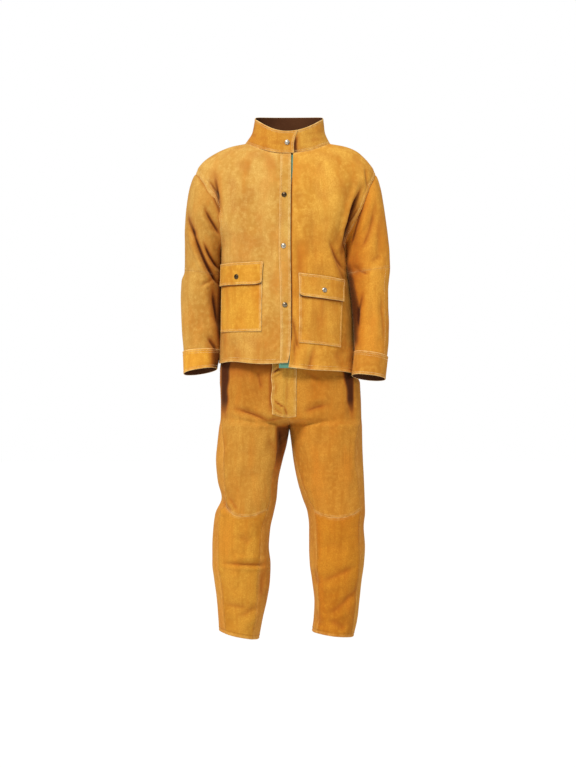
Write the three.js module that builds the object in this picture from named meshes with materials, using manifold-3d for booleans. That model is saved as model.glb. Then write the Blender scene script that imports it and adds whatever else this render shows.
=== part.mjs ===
// Welding suit in split cowhide: a snap-front jacket with a stand collar over plain trousers,
// hanging as worn.
// Millimetres, +Z up. The front faces -Y and the suit's own left side is +X.
// The origin is the middle of the neck opening, level with the top of the shoulders that carry the suit.
import * as THREE from "three";
import { mergeVertices } from "three/addons/utils/BufferGeometryUtils.js";
import Module from "manifold-3d";

const wasm = await Module();
wasm.setup();

// Driving dimensions
const leather = 2; // wall of split cowhide
const underlapCloth = 1.2; // green cotton strip behind the front opening
const seamGap = 0.3; // clearance between pieces that are sewn together
const seatGap = 0.7; // clearance under a piece sewn flat on top of another
const pocketGap = 1.1; // the same under a pocket, whose facets run across the jacket's
const cuffLap = 12; // sleeve end inside its cuff
const cuffHeight = 66;
const waistbandHeight = 42;
const snapRadius = 7.5;
const snapHeight = 3.4;
const flapCorner = 13; // rounded lower corner of a pocket flap, towards the front opening
const pocketPuff = 2.4; // how far the middle of a pocket stands off the jacket
const collarOverlap = { from: -98, to: 283 }; // degrees round the neck, the right end lying over the left
const centreSeam = 7.5; // x of the trousers' centre seam
const degree = Math.PI / 180;
const seamAngle = 0.22 * degree; // a panel stops this far short of its seam

// Rows of numbers as records, by the names of their columns.
function table(columns, rows) {
  const names = columns.split(" ");
  return rows.map((row) => Object.fromEntries(names.map((name, i) => [name, row[i]])));
}

// Jacket body, hem to neck seam. right, left, front and back are half widths and depths of a ring.
// frontDrop and backRise tip the ring's front and back out of level, and square is its superellipse power.
const torsoSections = table("z right left front back square frontDrop backRise", [
  [-690, 206, 208, 151, 143, 2.1, 0, 0],
  [-648, 204, 206, 149, 141, 2.1, 0, 0],
  [-545, 199.5, 201, 146, 136, 2.2, 0, 0],
  [-450, 197, 193, 143, 133, 2.3, 0, 0],
  [-380, 196.5, 184, 141, 133, 2.4, 0, 0],
  [-300, 197, 176, 139, 136, 2.4, 0, 0],
  [-230, 222, 208, 138, 138, 2.35, 0, 0],
  [-170, 245, 236, 135, 137, 2.3, 4, 0],
  [-120, 263, 255, 130, 132, 2.2, 14, 1],
  [-85, 272, 264, 125, 126, 2.15, 26, 2],
  [-62, 269, 260, 121, 121, 2.1, 34, 3],
  [-42, 256, 247, 117, 115, 2.1, 39, 4],
  [-22, 232, 229, 112, 108, 2.1, 43, 6],
  [-4, 200, 207, 106, 98, 2.1, 45, 9],
  [9, 166, 175, 99, 85, 2.05, 44, 13],
  [18, 122, 127, 86, 64, 2, 38, 22],
]);

// Stand collar, neck seam to top edge.
const collarSections = table("z right left front back square frontDrop backRise", [
  [19.8, 121.5, 127, 86, 64, 2, 38, 22],
  [54, 101, 113, 83, 69, 2, 40, 20],
  [90, 94, 108, 79, 73, 2, 44, 17],
]);

// Where the fronts end beside the opening: x of the right front's edge, of the left front's edge,
// and of the line where the placket band begins on the right front.
const frontEdges = table("z right left placket", [
  [-690, -7, 2, -21],
  [-655, -3, 5, -20],
  [-615, 6, 9, -19],
  [-570, 9, 11, -18],
  [-450, 10, 12, -19],
  [-300, 8, 10, -23],
  [-150, 9, 11.5, -21],
  [-70, 10, 17, -19],
  [20, 10, 19, -18],
]);

// Sleeves, cuff edge to shoulder. Each ring is given by its outermost and innermost points in the front
// view, the y of its middle, its half depths, its superellipse power, and lift: how far its front is above
// its middle.
// The last ring of each lies inside the jacket body and is trimmed away.
const sleeveRight = {
  elbowSeam: 6,
  facing: 1,
  rings: table("outerX outerZ innerX innerZ y front back square lift", [
    [-307, -672, -213, -656, -12, 50, 50, 2.1, 8],
    [-310, -603, -206, -598, -6, 54, 54, 2.1, 6],
    [-315, -549, -203, -545, 2, 60, 56, 2, 4],
    [-318, -495, -200, -492, 13, 71, 55, 2, 3],
    [-320, -441, -198, -440, 23, 83, 55, 2, 2],
    [-318, -394, -196.5, -402, 30, 90, 54, 2, 0],
    [-309, -362, -196, -378, 32, 94, 54, 2, 0],
    [-308, -318, -196, -356, 30, 93, 57, 2, 0],
    [-308, -262, -196.5, -337, 25, 91, 62, 2, 0],
    [-306, -208, -197.5, -322, 18, 87, 68, 2.05, 0],
    [-300, -156, -198.5, -312, 10, 85, 74, 2.1, 0],
    [-290, -108, -197, -304, 4, 85, 78, 2.15, 0],
    [-272, -74, -192, -296, 2, 84, 78, 2.2, 0],
    [-240, -80, -165, -282, 2, 82, 76, 2.2, 0],
  ]),
};
const sleeveLeft = {
  elbowSeam: 7,
  facing: -1,
  rings: table("outerX outerZ innerX innerZ y front back square lift", [
    [289, -688, 194, -677, -78, 50, 50, 2.1, 8],
    [297, -621, 201, -606, -68, 54, 54, 2.1, 7],
    [302, -570, 198, -566, -58, 57, 57, 2, 6],
    [303, -520, 196.5, -518, -54, 55, 66, 2, 5],
    [301, -468, 192.5, -468, -52, 52, 76, 2, 4],
    [301, -425, 187.5, -426, -50, 52, 84, 2, 2],
    [304, -388, 184, -398, -46, 52, 90, 2, 0],
    [307, -356, 181.8, -374, -40, 53, 91, 2, 0],
    [306, -310, 180, -352, -29, 58, 91, 2, 0],
    [302, -260, 179.3, -334, -17, 66, 84, 2, 0],
    [296, -210, 178.5, -320, -7, 72, 79, 2.05, 0],
    [289, -160, 178, -310, 0, 72, 76, 2.1, 0],
    [280, -112, 177, -302, 1, 66, 78, 2.15, 0],
    [264, -76, 173, -294, 2, 57, 78, 2.2, 0],
    [232, -82, 146, -280, 2, 52, 76, 2.2, 0],
  ]),
};

// Trouser legs, hem to waist, given like the sleeves. open goes from 0, a closed leg, to 1, a half of the
// hips that ends at the centre seam. outSeam and inSeam are the angles, in degrees, where front and back
// are joined.
// The knee seam runs from outer to inner z and dips in the middle of the front.
const legRight = {
  facing: 1,
  knee: { outer: -1059, inner: -1072, dip: 28 },
  rings: table("outerX outerZ innerX innerZ y front back square open outSeam inSeam", [
    [-204, -1441, -84, -1466, 10, 74, 84, 2, 0, 46, 136],
    [-207, -1395, -72, -1402, 6, 72, 82, 2, 0, 44, 134],
    [-211, -1345, -60, -1350, 2, 74, 82, 2, 0, 42, 128],
    [-218, -1290, -51, -1292, -2, 76, 82, 2, 0, 40, 126],
    [-224, -1240, -49, -1242, -4, 78, 83, 2, 0, 38, 130],
    [-224, -1190, -54, -1190, -6, 79, 84, 2, 0, 37, 134],
    [-221, -1135, -50, -1135, -8, 80, 85, 2, 0, 36, 136],
    [-215, -1090, -40, -1090, -8, 82, 86, 2, 0, 34, 140],
    [-196, -1042, -31, -1045, -8, 84, 88, 2, 0, 34, 142],
    [-208, -990, -26, -990, -6, 88, 92, 2, 0, 40, 142],
    [-213, -930, -13, -930, -4, 94, 98, 2, 0, 42, 142],
    [-209, -880, 0, -880, -2, 99, 104, 2.05, 0, 36, 142],
    [-203, -828, 7.2, -830, 0, 104, 112, 2.1, 0, 24, 180],
    [-200.5, -815, 7.2, -816, 0, 109, 117, 2.1, 0.6, 18, 180],
    [-199, -802, 7.2, -802, 0, 113, 121, 2.1, 0.96, 14, 180],
    [-198.5, -755, 7.2, -755, 0, 117, 124, 2.1, 1, 10, 180],
    [-199.5, -722, 7.2, -722, 0, 119, 126, 2.1, 1, 6, 180],
    [-201, -698, 7.2, -698, 0, 120, 126, 2.1, 1, 4, 180],
    [-200.5, -660, 7.2, -660, 0, 120, 126, 2.1, 1, 2, 180],
    [-190, -590, 7.2, -590, 0, 117, 122, 2.1, 1, 0, 180],
    [-173, -516, 7.2, -516, 0, 112, 116, 2.1, 1, 0, 180],
  ]),
};
const legLeft = {
  facing: -1,
  knee: { outer: -1074, inner: -1080, dip: 20 },
  rings: table("outerX outerZ innerX innerZ y front back square open outSeam inSeam", [
    [200, -1458, 75, -1443, 10, 74, 84, 2, 0, 30, 140],
    [211, -1408, 80, -1400, 6, 72, 82, 2, 0, 34, 142],
    [217, -1355, 82, -1355, 2, 74, 82, 2, 0, 36, 144],
    [224, -1290, 75, -1290, -2, 76, 82, 2, 0, 36, 142],
    [231, -1240, 68, -1240, -4, 78, 83, 2, 0, 36, 140],
    [234, -1190, 66, -1190, -6, 79, 84, 2, 0, 36, 138],
    [230, -1130, 66, -1130, -8, 80, 85, 2, 0, 36, 138],
    [234, -1085, 61, -1085, -8, 82, 86, 2, 0, 34, 140],
    [233, -1045, 47, -1045, -8, 84, 88, 2, 0, 32, 146],
    [231, -995, 32, -995, -6, 88, 92, 2, 0, 34, 150],
    [228, -935, 20, -935, -4, 94, 98, 2, 0, 38, 158],
    [226, -880, 13, -880, -2, 99, 104, 2.05, 0, 38, 167],
    [225, -828, 7.8, -830, 0, 104, 112, 2.1, 0, 26, 180],
    [224, -815, 7.8, -816, 0, 109, 117, 2.1, 0.6, 20, 180],
    [223, -802, 7.8, -802, 0, 113, 121, 2.1, 0.96, 14, 180],
    [222, -755, 7.8, -755, 0, 117, 124, 2.1, 1, 10, 180],
    [220, -722, 7.8, -722, 0, 119, 126, 2.1, 1, 6, 180],
    [214, -698, 7.8, -698, 0, 120, 126, 2.1, 1, 4, 180],
    [198.6, -660, 7.8, -660, 0, 120, 126, 2.1, 1, 2, 180],
    [190, -590, 7.8, -590, 0, 117, 122, 2.1, 1, 0, 180],
    [174, -516, 7.8, -516, 0, 112, 116, 2.1, 1, 0, 180],
  ]),
};

// Folds run from (x1, z1) to (x2, z2) in the front view. width is half the width of the dent and depth is
// how deep it is, with the leather pushed up on both sides. side is -1 on the front and 1 on the back.
const torsoFolds = table("side x1 z1 x2 z2 width depth", [
  [-1, -195, -150, -160, -270, 22, 5],
  [-1, 196, -110, 172, -260, 24, 10],
  [-1, 130, -270, 182, -375, 17, 7],
  [-1, -120, -110, -95, -320, 30, 5],
  [1, -185, -170, -120, -420, 34, 9],
  [1, 185, -170, 120, -420, 34, 9],
  [1, -60, -420, -80, -650, 36, 7],
  [1, 70, -420, 85, -650, 36, 7],
]);
const sleeveRightFolds = table("side x1 z1 x2 z2 width depth", [
  [-1, -283, -225, -205, -398, 16, 12],
  [-1, -245, -183, -202, -262, 14, 10],
  [-1, -249, -285, -202, -352, 13, 9],
  [-1, -225, -520, -245, -590, 20, 6],
  [1, -300, -350, -215, -330, 18, 8],
  [1, -300, -420, -220, -450, 20, 7],
]);
const sleeveLeftFolds = table("side x1 z1 x2 z2 width depth", [
  [-1, 290, -150, 255, -285, 20, 7],
  [-1, 196, -350, 240, -372, 16, 11],
  [-1, 205, -430, 235, -520, 18, 7],
  [-1, 285, -410, 262, -560, 18, 5],
  [1, 300, -350, 215, -330, 18, 8],
  [1, 300, -430, 215, -455, 20, 7],
]);
const legRightFolds = table("side x1 z1 x2 z2 width depth", [
  [-1, -182, -640, -179, -790, 9, 8],
  [-1, -190, -788, -60, -818, 18, 7],
  [-1, -60, -850, -12, -940, 20, 9],
  [-1, -195, -1035, -160, -1085, 14, 8],
  [-1, -180, -1236, -72, -1238, 15, 11],
  [-1, -170, -1392, -98, -1350, 18, 9],
  [1, -170, -815, -20, -860, 24, 9],
  [1, -195, -1080, -55, -1095, 20, 10],
  [1, -185, -1330, -75, -1360, 20, 9],
]);
const legLeftFolds = table("side x1 z1 x2 z2 width depth", [
  [-1, 188, -650, 193, -790, 9, 8],
  [-1, 200, -775, 75, -800, 22, 5],
  [-1, 95, -1275, 215, -1235, 18, 8],
  [-1, 112, -1385, 195, -1345, 18, 9],
  [-1, 88, -1330, 92, -1400, 12, 7],
  [1, 190, -815, 35, -860, 24, 9],
  [1, 210, -1080, 70, -1095, 20, 10],
  [1, 195, -1330, 95, -1360, 20, 9],
]);

// Patch pockets and their flaps by their corners in the front view, with the snap on the flap.
const pockets = {
  right: {
    patch: { inTop: [-72, -346], outTop: [-192, -348], outLow: [-194, -548], inLow: [-75, -547] },
    flap: { inTop: [-70, -345], outTop: [-192.5, -347], outLow: [-193, -411], inLow: [-72, -408] },
    snap: [-143, -387],
  },
  left: {
    patch: { inTop: [36, -380], outTop: [164, -398], outLow: [158, -593], inLow: [36, -580] },
    flap: { inTop: [34, -378], outTop: [166, -396], outLow: [164, -458], inLow: [37, -444] },
    snap: [107, -428],
  },
};
const fly = { right: -44, left: 27, top: -562, bottom: -797 };
const underlap = { right: -24, left: 30, bottom: -655, top: 6 };
const placketSnaps = [-138, -298, -471]; // z of the snaps down the placket
const collarSnap = { angle: 270.2 * degree, row: 0.93 };

// A table's row at a fractional place between its rows, each column on a smooth curve that doesn't
// overshoot.
function rowAt(rows, at) {
  const last = rows.length - 1;
  const i = Math.min(Math.max(Math.floor(at), 0), last - 1);
  const f = Math.min(Math.max(at - i, 0), 1);
  const slope = (column, k) => {
    if (k === 0) return rows[1][column] - rows[0][column];
    if (k === last) return rows[last][column] - rows[last - 1][column];
    const before = rows[k][column] - rows[k - 1][column];
    const after = rows[k + 1][column] - rows[k][column];
    return before * after > 0 ? (2 * before * after) / (before + after) : 0;
  };
  const made = {};
  for (const column of Object.keys(rows[0])) {
    const a = rows[i][column];
    const b = rows[i + 1][column];
    const rise = b - a;
    const start = slope(column, i);
    const end = slope(column, i + 1);
    made[column] = a + f * (start + f * (3 * rise - 2 * start - end + f * (start + end - 2 * rise)));
  }
  return made;
}

// The fractional row of a table whose rising column has the given value.
function rowWhere(rows, column, value) {
  let low = 0;
  let high = rows.length - 1;
  for (let step = 0; step < 40; step++) {
    const middle = (low + high) / 2;
    if (rowAt(rows, middle)[column] < value) low = middle;
    else high = middle;
  }
  return (low + high) / 2;
}

const mix = (a, b, f) => a + (b - a) * f;
const evenSteps = (from, to, count) =>
  Array.from({ length: count + 1 }, (_, i) => mix(from, to, i / count));
const bent = (value, square) => Math.sign(value) * Math.abs(value) ** (2 / square);

// How far the leather moves out along its ring's radius at a place, from the folds near it.
// facing is -1 in the middle of the front, 1 in the middle of the back and 0 at the sides.
function foldHeight(folds, x, z, facing) {
  let height = 0;
  for (const fold of folds) {
    const weight = Math.min(Math.max(fold.side * facing * 1.8, 0), 1);
    const dx = fold.x2 - fold.x1;
    const dz = fold.z2 - fold.z1;
    const along = ((x - fold.x1) * dx + (z - fold.z1) * dz) / (dx * dx + dz * dz);
    const f = Math.min(Math.max(along, 0), 1);
    const away = Math.hypot(x - fold.x1 - f * dx, z - fold.z1 - f * dz) / fold.width;
    height -= weight * fold.depth * (1 - 0.8 * away * away) * Math.exp(-away * away);
  }
  return height;
}

// A ring of the torso, collar or waistband. Angle 0 is the left side, 90 degrees the back and 270 the
// front.
function bodyRing(section, angle) {
  const across = bent(Math.cos(angle), section.square);
  const along = bent(Math.sin(angle), section.square);
  const tip = along < 0 ? -section.frontDrop : section.backRise;
  return new THREE.Vector3(
    across * (across < 0 ? section.right : section.left),
    along * (along < 0 ? section.front : section.back),
    section.z + tip * along * along,
  );
}

function torso(angle, row) {
  const section = rowAt(torsoSections, row);
  const place = bodyRing(section, angle);
  const facing = Math.sin(angle);
  const out = foldHeight(torsoFolds, place.x, place.z, facing);
  return place.add(new THREE.Vector3(Math.cos(angle), facing, 0).multiplyScalar(out));
}

// The collar winds a little outwards round the neck, so that its right end lies over its left end.
function collarWall(angle, row) {
  const place = bodyRing(rowAt(collarSections, row), angle);
  const turns = (angle / degree - collarOverlap.from) / (collarOverlap.to - collarOverlap.from);
  const out = (leather + 2 * seamGap) * turns;
  return place.add(new THREE.Vector3(Math.cos(angle), Math.sin(angle), 0).multiplyScalar(out));
}

// A ring of a sleeve or a leg. Angle 0 is its outer side, 90 degrees the front, 180 the inner side
// and 270 the back.
function limbRing(ring, angle) {
  const across = bent(Math.cos(angle), ring.square);
  const along = bent(Math.sin(angle), ring.square);
  return new THREE.Vector3(
    mix(ring.innerX, ring.outerX, (across + 1) / 2),
    ring.y - along * (along > 0 ? ring.front : ring.back),
    mix(ring.innerZ, ring.outerZ, (across + 1) / 2) + (ring.lift ?? 0) * along,
  );
}

function limbOut(place, ring) {
  const middle = new THREE.Vector3(
    (ring.outerX + ring.innerX) / 2,
    ring.y,
    (ring.outerZ + ring.innerZ) / 2,
  );
  return place.clone().sub(middle).normalize();
}

function sleeveSurface(sleeve, folds) {
  return (angle, row) => {
    const ring = rowAt(sleeve.rings, row);
    const place = limbRing(ring, angle);
    const out = foldHeight(folds, place.x, place.z, -Math.sin(angle));
    return place.addScaledVector(limbOut(place, ring), out);
  };
}

// Above the crotch a leg's ring opens into a half of the hips, which ends at the centre seam in front and
// behind.
// The back panel goes on past a full turn, to the outer seam on the front.
function legSurface(leg, folds, isBack) {
  return (angle, row) => {
    const ring = rowAt(leg.rings, row);
    const behind = isBack && angle <= 2 * Math.PI;
    const half = (behind ? 2 * Math.PI - angle : angle % (2 * Math.PI)) / 2;
    const hip = new THREE.Vector3(
      mix(ring.innerX, ring.outerX, bent(Math.cos(half), ring.square)),
      ring.y + (behind ? ring.back : -ring.front) * bent(Math.sin(half), ring.square),
      ring.outerZ,
    );
    const place = limbRing(ring, angle).lerp(hip, ring.open);
    const out = foldHeight(folds, place.x, place.z, -Math.sin(angle));
    return place.addScaledVector(limbOut(place, ring), out);
  };
}

// The outward normal of a surface of angle and row.
function outwards(surface, angle, row, lastRow, facing) {
  const step = 0.01;
  const below = Math.max(row - step, 0);
  const above = Math.min(row + step, lastRow);
  const across = surface(angle + step, row).sub(surface(angle - step, row));
  const up = surface(angle, above).sub(surface(angle, below));
  return across.cross(up).multiplyScalar(facing).normalize();
}

// A wall of leather or cloth between two offsets from a surface. place gives the surface's angle and row at
// a share s across and t up the panel. A closed wall goes all the way round.
function wall(shape) {
  const { surface, lastRow, place, columns, rows } = shape;
  const { outer = 0, inner = -leather, facing = 1, closed = false } = shape;
  const points = [];
  const wide = closed ? columns : columns + 1;
  for (const offset of [outer, inner]) {
    for (let j = 0; j <= rows; j++) {
      for (let i = 0; i < wide; i++) {
        const [angle, row] = place(i / columns, j / rows);
        const away = typeof offset === "function" ? offset(i / columns, j / rows) : offset;
        const normal = outwards(surface, angle, row, lastRow, facing);
        points.push(...surface(angle, row).addScaledVector(normal, away).toArray());
      }
    }
  }
  const layer = wide * (rows + 1);
  const outside = (i, j) => j * wide + (i % wide);
  const inside = (i, j) => layer + outside(i, j);
  const triangles = [];
  const quad = (a, b, c, d) => triangles.push(a, b, c, a, c, d);
  for (let i = 0; i < columns; i++) {
    for (let j = 0; j < rows; j++) {
      quad(outside(i, j), outside(i + 1, j), outside(i + 1, j + 1), outside(i, j + 1));
      quad(inside(i, j), inside(i, j + 1), inside(i + 1, j + 1), inside(i + 1, j));
    }
    quad(outside(i + 1, 0), outside(i, 0), inside(i, 0), inside(i + 1, 0));
    quad(outside(i, rows), outside(i + 1, rows), inside(i + 1, rows), inside(i, rows));
  }
  if (!closed) {
    for (let j = 0; j < rows; j++) {
      quad(outside(0, j), outside(0, j + 1), inside(0, j + 1), inside(0, j));
      quad(outside(columns, j + 1), outside(columns, j), inside(columns, j), inside(columns, j + 1));
    }
  }
  return solidFrom(points, triangles, facing);
}

// A solid core that fills a closed surface at an offset, with flat ends.
function core({ surface, lastRow, fromRow, toRow, columns, rows, offset, facing = 1 }) {
  const points = [];
  for (let j = 0; j <= rows; j++) {
    const row = mix(fromRow, toRow, j / rows);
    for (let i = 0; i < columns; i++) {
      const angle = (i / columns) * 2 * Math.PI;
      const normal = outwards(surface, angle, row, lastRow, facing);
      points.push(...surface(angle, row).addScaledVector(normal, offset).toArray());
    }
  }
  const triangles = [];
  const at = (i, j) => j * columns + (i % columns);
  for (const [j, up] of [[0, false], [rows, true]]) {
    const middle = new THREE.Vector3();
    for (let i = 0; i < columns; i++) middle.add(new THREE.Vector3().fromArray(points, 3 * at(i, j)));
    const hub = points.length / 3;
    points.push(...middle.divideScalar(columns).toArray());
    for (let i = 0; i < columns; i++) {
      if (up) triangles.push(hub, at(i, j), at(i + 1, j));
      else triangles.push(hub, at(i + 1, j), at(i, j));
    }
  }
  for (let j = 0; j < rows; j++) {
    for (let i = 0; i < columns; i++) {
      triangles.push(at(i, j), at(i + 1, j), at(i + 1, j + 1), at(i, j), at(i + 1, j + 1), at(i, j + 1));
    }
  }
  return solidFrom(points, triangles, facing);
}

function solidFrom(points, triangles, facing) {
  const triVerts = new Uint32Array(triangles);
  if (facing < 0) {
    for (let i = 0; i < triVerts.length; i += 3) {
      [triVerts[i + 1], triVerts[i + 2]] = [triVerts[i + 2], triVerts[i + 1]];
    }
  }
  const vertProperties = new Float32Array(points);
  return new wasm.Manifold(new wasm.Mesh({ numProp: 3, vertProperties, triVerts }));
}

function solidOf(geometry) {
  const bare = geometry.clone();
  bare.deleteAttribute("normal");
  bare.deleteAttribute("uv");
  const merged = mergeVertices(bare);
  return solidFrom([...merged.attributes.position.array], [...merged.index.array], 1);
}

// The body that a trim leaves, without its offcuts.
function largestBody(solid) {
  return solid.decompose().reduce((best, body) => (body.volume() > best.volume() ? body : best));
}

function meshOf(name, solid, material) {
  const made = solid.getMesh();
  const geometry = new THREE.BufferGeometry();
  geometry.setAttribute("position", new THREE.BufferAttribute(made.vertProperties, made.numProp));
  geometry.setIndex(new THREE.BufferAttribute(made.triVerts, 1));
  geometry.computeVertexNormals();
  const mesh = new THREE.Mesh(geometry, material);
  mesh.name = name;
  return mesh;
}

const suede = (color) => new THREE.MeshStandardMaterial({ color, roughness: 0.95, metalness: 0 });
const jacketSuede = suede(0xe0a24a);
const trouserSuede = suede(0xcc8838);
const greenCotton = suede(0x5f8f78);
const agedNickel = new THREE.MeshStandardMaterial({ color: 0x9a9080, roughness: 0.35, metalness: 1 });

const suit = new THREE.Group();
const jacket = new THREE.Group();
const trousers = new THREE.Group();
suit.add(jacket, trousers);

// Jacket body
const torsoTop = torsoSections.length - 1;
const torsoRowAt = (z) => rowWhere(torsoSections, "z", z);

// The angle of a point on the front of the torso whose x is given.
function frontAngle(x, row) {
  const section = rowAt(torsoSections, row);
  const share = Math.min(Math.abs(x) / (x < 0 ? section.right : section.left), 0.9999);
  const turn = Math.acos(share ** (section.square / 2));
  return x < 0 ? Math.PI + turn : 2 * Math.PI - turn;
}

function frontEdgeAngle(side, row, inset = 0) {
  const z = rowAt(torsoSections, row).z - rowAt(torsoSections, row).frontDrop;
  const x = rowAt(frontEdges, rowWhere(frontEdges, "z", z))[side];
  return frontAngle(x + inset, row);
}

const hem = { rightSide: -637, rightFront: -641, leftFront: -654, leftSide: -675 };
const bodyGrid = { surface: torso, lastRow: torsoTop, rows: 15 };
const backShape = {
  ...bodyGrid,
  columns: 16,
  place: (s, t) => {
    const angle = mix(seamAngle, Math.PI - seamAngle, s);
    return [angle, mix(torsoRowAt(mix(hem.leftSide, hem.rightSide, s)), torsoTop, t)];
  },
};
const frontRightShape = {
  ...bodyGrid,
  columns: 10,
  place: (s, t) => {
    const row = mix(torsoRowAt(mix(hem.rightSide, hem.rightFront, s)), torsoTop, t);
    return [mix(Math.PI + seamAngle, frontEdgeAngle("right", row), s), row];
  },
};
const frontLeftShape = {
  ...bodyGrid,
  columns: 10,
  place: (s, t) => {
    const row = mix(torsoRowAt(mix(hem.leftFront, hem.leftSide, s)), torsoTop, t);
    return [mix(frontEdgeAngle("left", row), 2 * Math.PI - seamAngle, s), row];
  },
};
const bodyShapes = [backShape, frontRightShape, frontLeftShape];

// Sleeves end a seam gap off the jacket body, and the body is open where a sleeve joins it.
const bodyInside = core({
  surface: torso,
  lastRow: torsoTop,
  fromRow: 0,
  toRow: torsoTop,
  columns: 36,
  rows: 15,
  offset: -leather,
});
const bodyCore = bodyShapes
  .map((shape) => ({ ...shape, place: (s, t) => shape.place(mix(-0.004, 1.004, s), t) }))
  .map((shape) => wall({ ...shape, outer: 2 * seamGap, inner: -2 * leather }))
  .reduce((whole, grown) => whole.add(grown), bodyInside);

function makeSleeve(side, sleeve, folds) {
  const surface = sleeveSurface(sleeve, folds);
  const lastRow = sleeve.rings.length - 1;
  const cuffTop = cuffHeight / (sleeve.rings[1].outerZ - sleeve.rings[0].outerZ);
  const rowsPerMm = 1 / (sleeve.rings[2].outerZ - sleeve.rings[1].outerZ);
  const tube = { surface, lastRow, columns: 16, facing: sleeve.facing, closed: true };
  const through = (levels) => ({
    rows: levels.length - 1,
    place: (s, t) => [s * 2 * Math.PI, levels[Math.round(t * (levels.length - 1))]],
  });
  const halfSeam = 2 * seamGap * rowsPerMm;
  const sleeveEnd = cuffTop - cuffLap * rowsPerMm;
  const upper = wall({ ...tube, ...through(evenSteps(sleeve.elbowSeam + halfSeam, lastRow, 8)) });
  const lower = wall({
    ...tube,
    ...through([sleeveEnd, ...evenSteps(cuffTop, sleeve.elbowSeam - halfSeam, 6)]),
  });
  const cuff = wall({
    ...tube,
    outer: seatGap + leather,
    inner: seatGap,
    ...through([...evenSteps(0, sleeveEnd, 2), cuffTop]),
  });
  const hollow = core({
    surface,
    lastRow,
    fromRow: sleeve.elbowSeam + 1,
    toRow: lastRow,
    columns: tube.columns,
    rows: 7,
    offset: -leather,
    facing: sleeve.facing,
  });
  jacket.add(
    meshOf(`sleeve_upper_${side}`, largestBody(upper.subtract(bodyCore)), jacketSuede),
    meshOf(`sleeve_lower_${side}`, lower, jacketSuede),
    meshOf(`cuff_${side}`, cuff, jacketSuede),
  );
  return hollow;
}
const armholes = makeSleeve("right", sleeveRight, sleeveRightFolds).add(
  makeSleeve("left", sleeveLeft, sleeveLeftFolds),
);
jacket.add(
  meshOf("jacket_back", wall(backShape).subtract(armholes), jacketSuede),
  meshOf("jacket_front_right", wall(frontRightShape).subtract(armholes), jacketSuede),
  meshOf("jacket_front_left", wall(frontLeftShape).subtract(armholes), jacketSuede),
);

// Stand collar, closed by a snap where its right end lies over its left end
const collar = wall({
  surface: collarWall,
  lastRow: collarSections.length - 1,
  columns: 30,
  rows: 2,
  place: (s, t) => [
    mix(collarOverlap.from, collarOverlap.to, s) * degree,
    t * (collarSections.length - 1),
  ],
});

// Placket band on the right front, and the cotton strip that backs the opening
const placketBottom = torsoRowAt(hem.rightFront);
const placket = wall({
  ...bodyGrid,
  columns: 2,
  outer: seatGap + leather,
  inner: seatGap,
  place: (s, t) => {
    const row = mix(placketBottom, torsoTop - 0.25, t);
    return [mix(frontEdgeAngle("placket", row), frontEdgeAngle("right", row, -1), s), row];
  },
});
const strip = wall({
  ...bodyGrid,
  columns: 3,
  outer: -leather - 1.3 * seatGap,
  inner: -leather - 1.3 * seatGap - underlapCloth,
  place: (s, t) => {
    const row = mix(torsoRowAt(underlap.bottom), torsoRowAt(underlap.top), t);
    return [frontAngle(mix(underlap.right, underlap.left, s), row), row];
  },
});
jacket.add(
  meshOf("front_placket", placket, jacketSuede),
  meshOf("front_underlap", strip, greenCotton),
  meshOf("collar", collar, jacketSuede),
);

// A patch on the front by its corners in the front view. shares are the places of its columns,
// from the edge next to the opening outwards.
function patchPlace(corners, shares, roundCorner) {
  const flip = corners.inTop[0] > corners.outTop[0];
  const last = shares.length - 1;
  return (s, t) => {
    const f = shares[Math.round((flip ? 1 - s : s) * last)];
    const low = mix(corners.inLow[1], corners.outLow[1], f);
    const high = mix(corners.inTop[1], corners.outTop[1], f);
    const fromInner = f * Math.abs(corners.inLow[0] - corners.outLow[0]);
    const left = Math.max(1 - fromInner / Math.max(roundCorner, 1), 0);
    const lift = roundCorner * (1 - Math.sqrt(1 - left * left)) * 0.7;
    const z = mix(low + lift, high, t);
    const row = torsoRowAt(z);
    const nearAngle = frontAngle(mix(corners.inLow[0], corners.inTop[0], t), row);
    const farAngle = frontAngle(mix(corners.outLow[0], corners.outTop[0], t), row);
    return [mix(nearAngle, farAngle, f), row];
  };
}

const puffed = (s, t) => pocketPuff * Math.sin(Math.PI * s) * Math.sin(Math.PI * t);
const covered = (s, t) => pocketPuff * Math.sin(Math.PI * s) * (1 - t);
const oneLayer = seatGap + leather;
const flapSeat = pocketGap + leather + 1.6 * seatGap;
const pocketShares = evenSteps(0, 1, 8);
const flapShares = [0, 0.03, 0.08, ...pocketShares.slice(1)];
for (const side of ["right", "left"]) {
  const { patch, flap, snap } = pockets[side];
  const bag = wall({
    ...bodyGrid,
    columns: pocketShares.length - 1,
    rows: 6,
    outer: (s, t) => pocketGap + leather + puffed(s, t),
    inner: (s, t) => pocketGap + puffed(s, t),
    place: patchPlace(patch, pocketShares, 0),
  });
  const cover = wall({
    ...bodyGrid,
    columns: flapShares.length - 1,
    rows: 2,
    outer: (s, t) => flapSeat + leather + covered(s, t),
    inner: (s, t) => flapSeat + covered(s, t),
    place: patchPlace(flap, flapShares, flapCorner),
  });
  jacket.add(
    meshOf(`pocket_${side}`, bag, jacketSuede),
    meshOf(`pocket_flap_${side}`, cover, jacketSuede),
  );
  const row = torsoRowAt(snap[1]);
  addSnap(`snap_pocket_${side}`, torso, torsoTop, frontAngle(snap[0], row), row, flapSeat + leather + 1.5);
}

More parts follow.
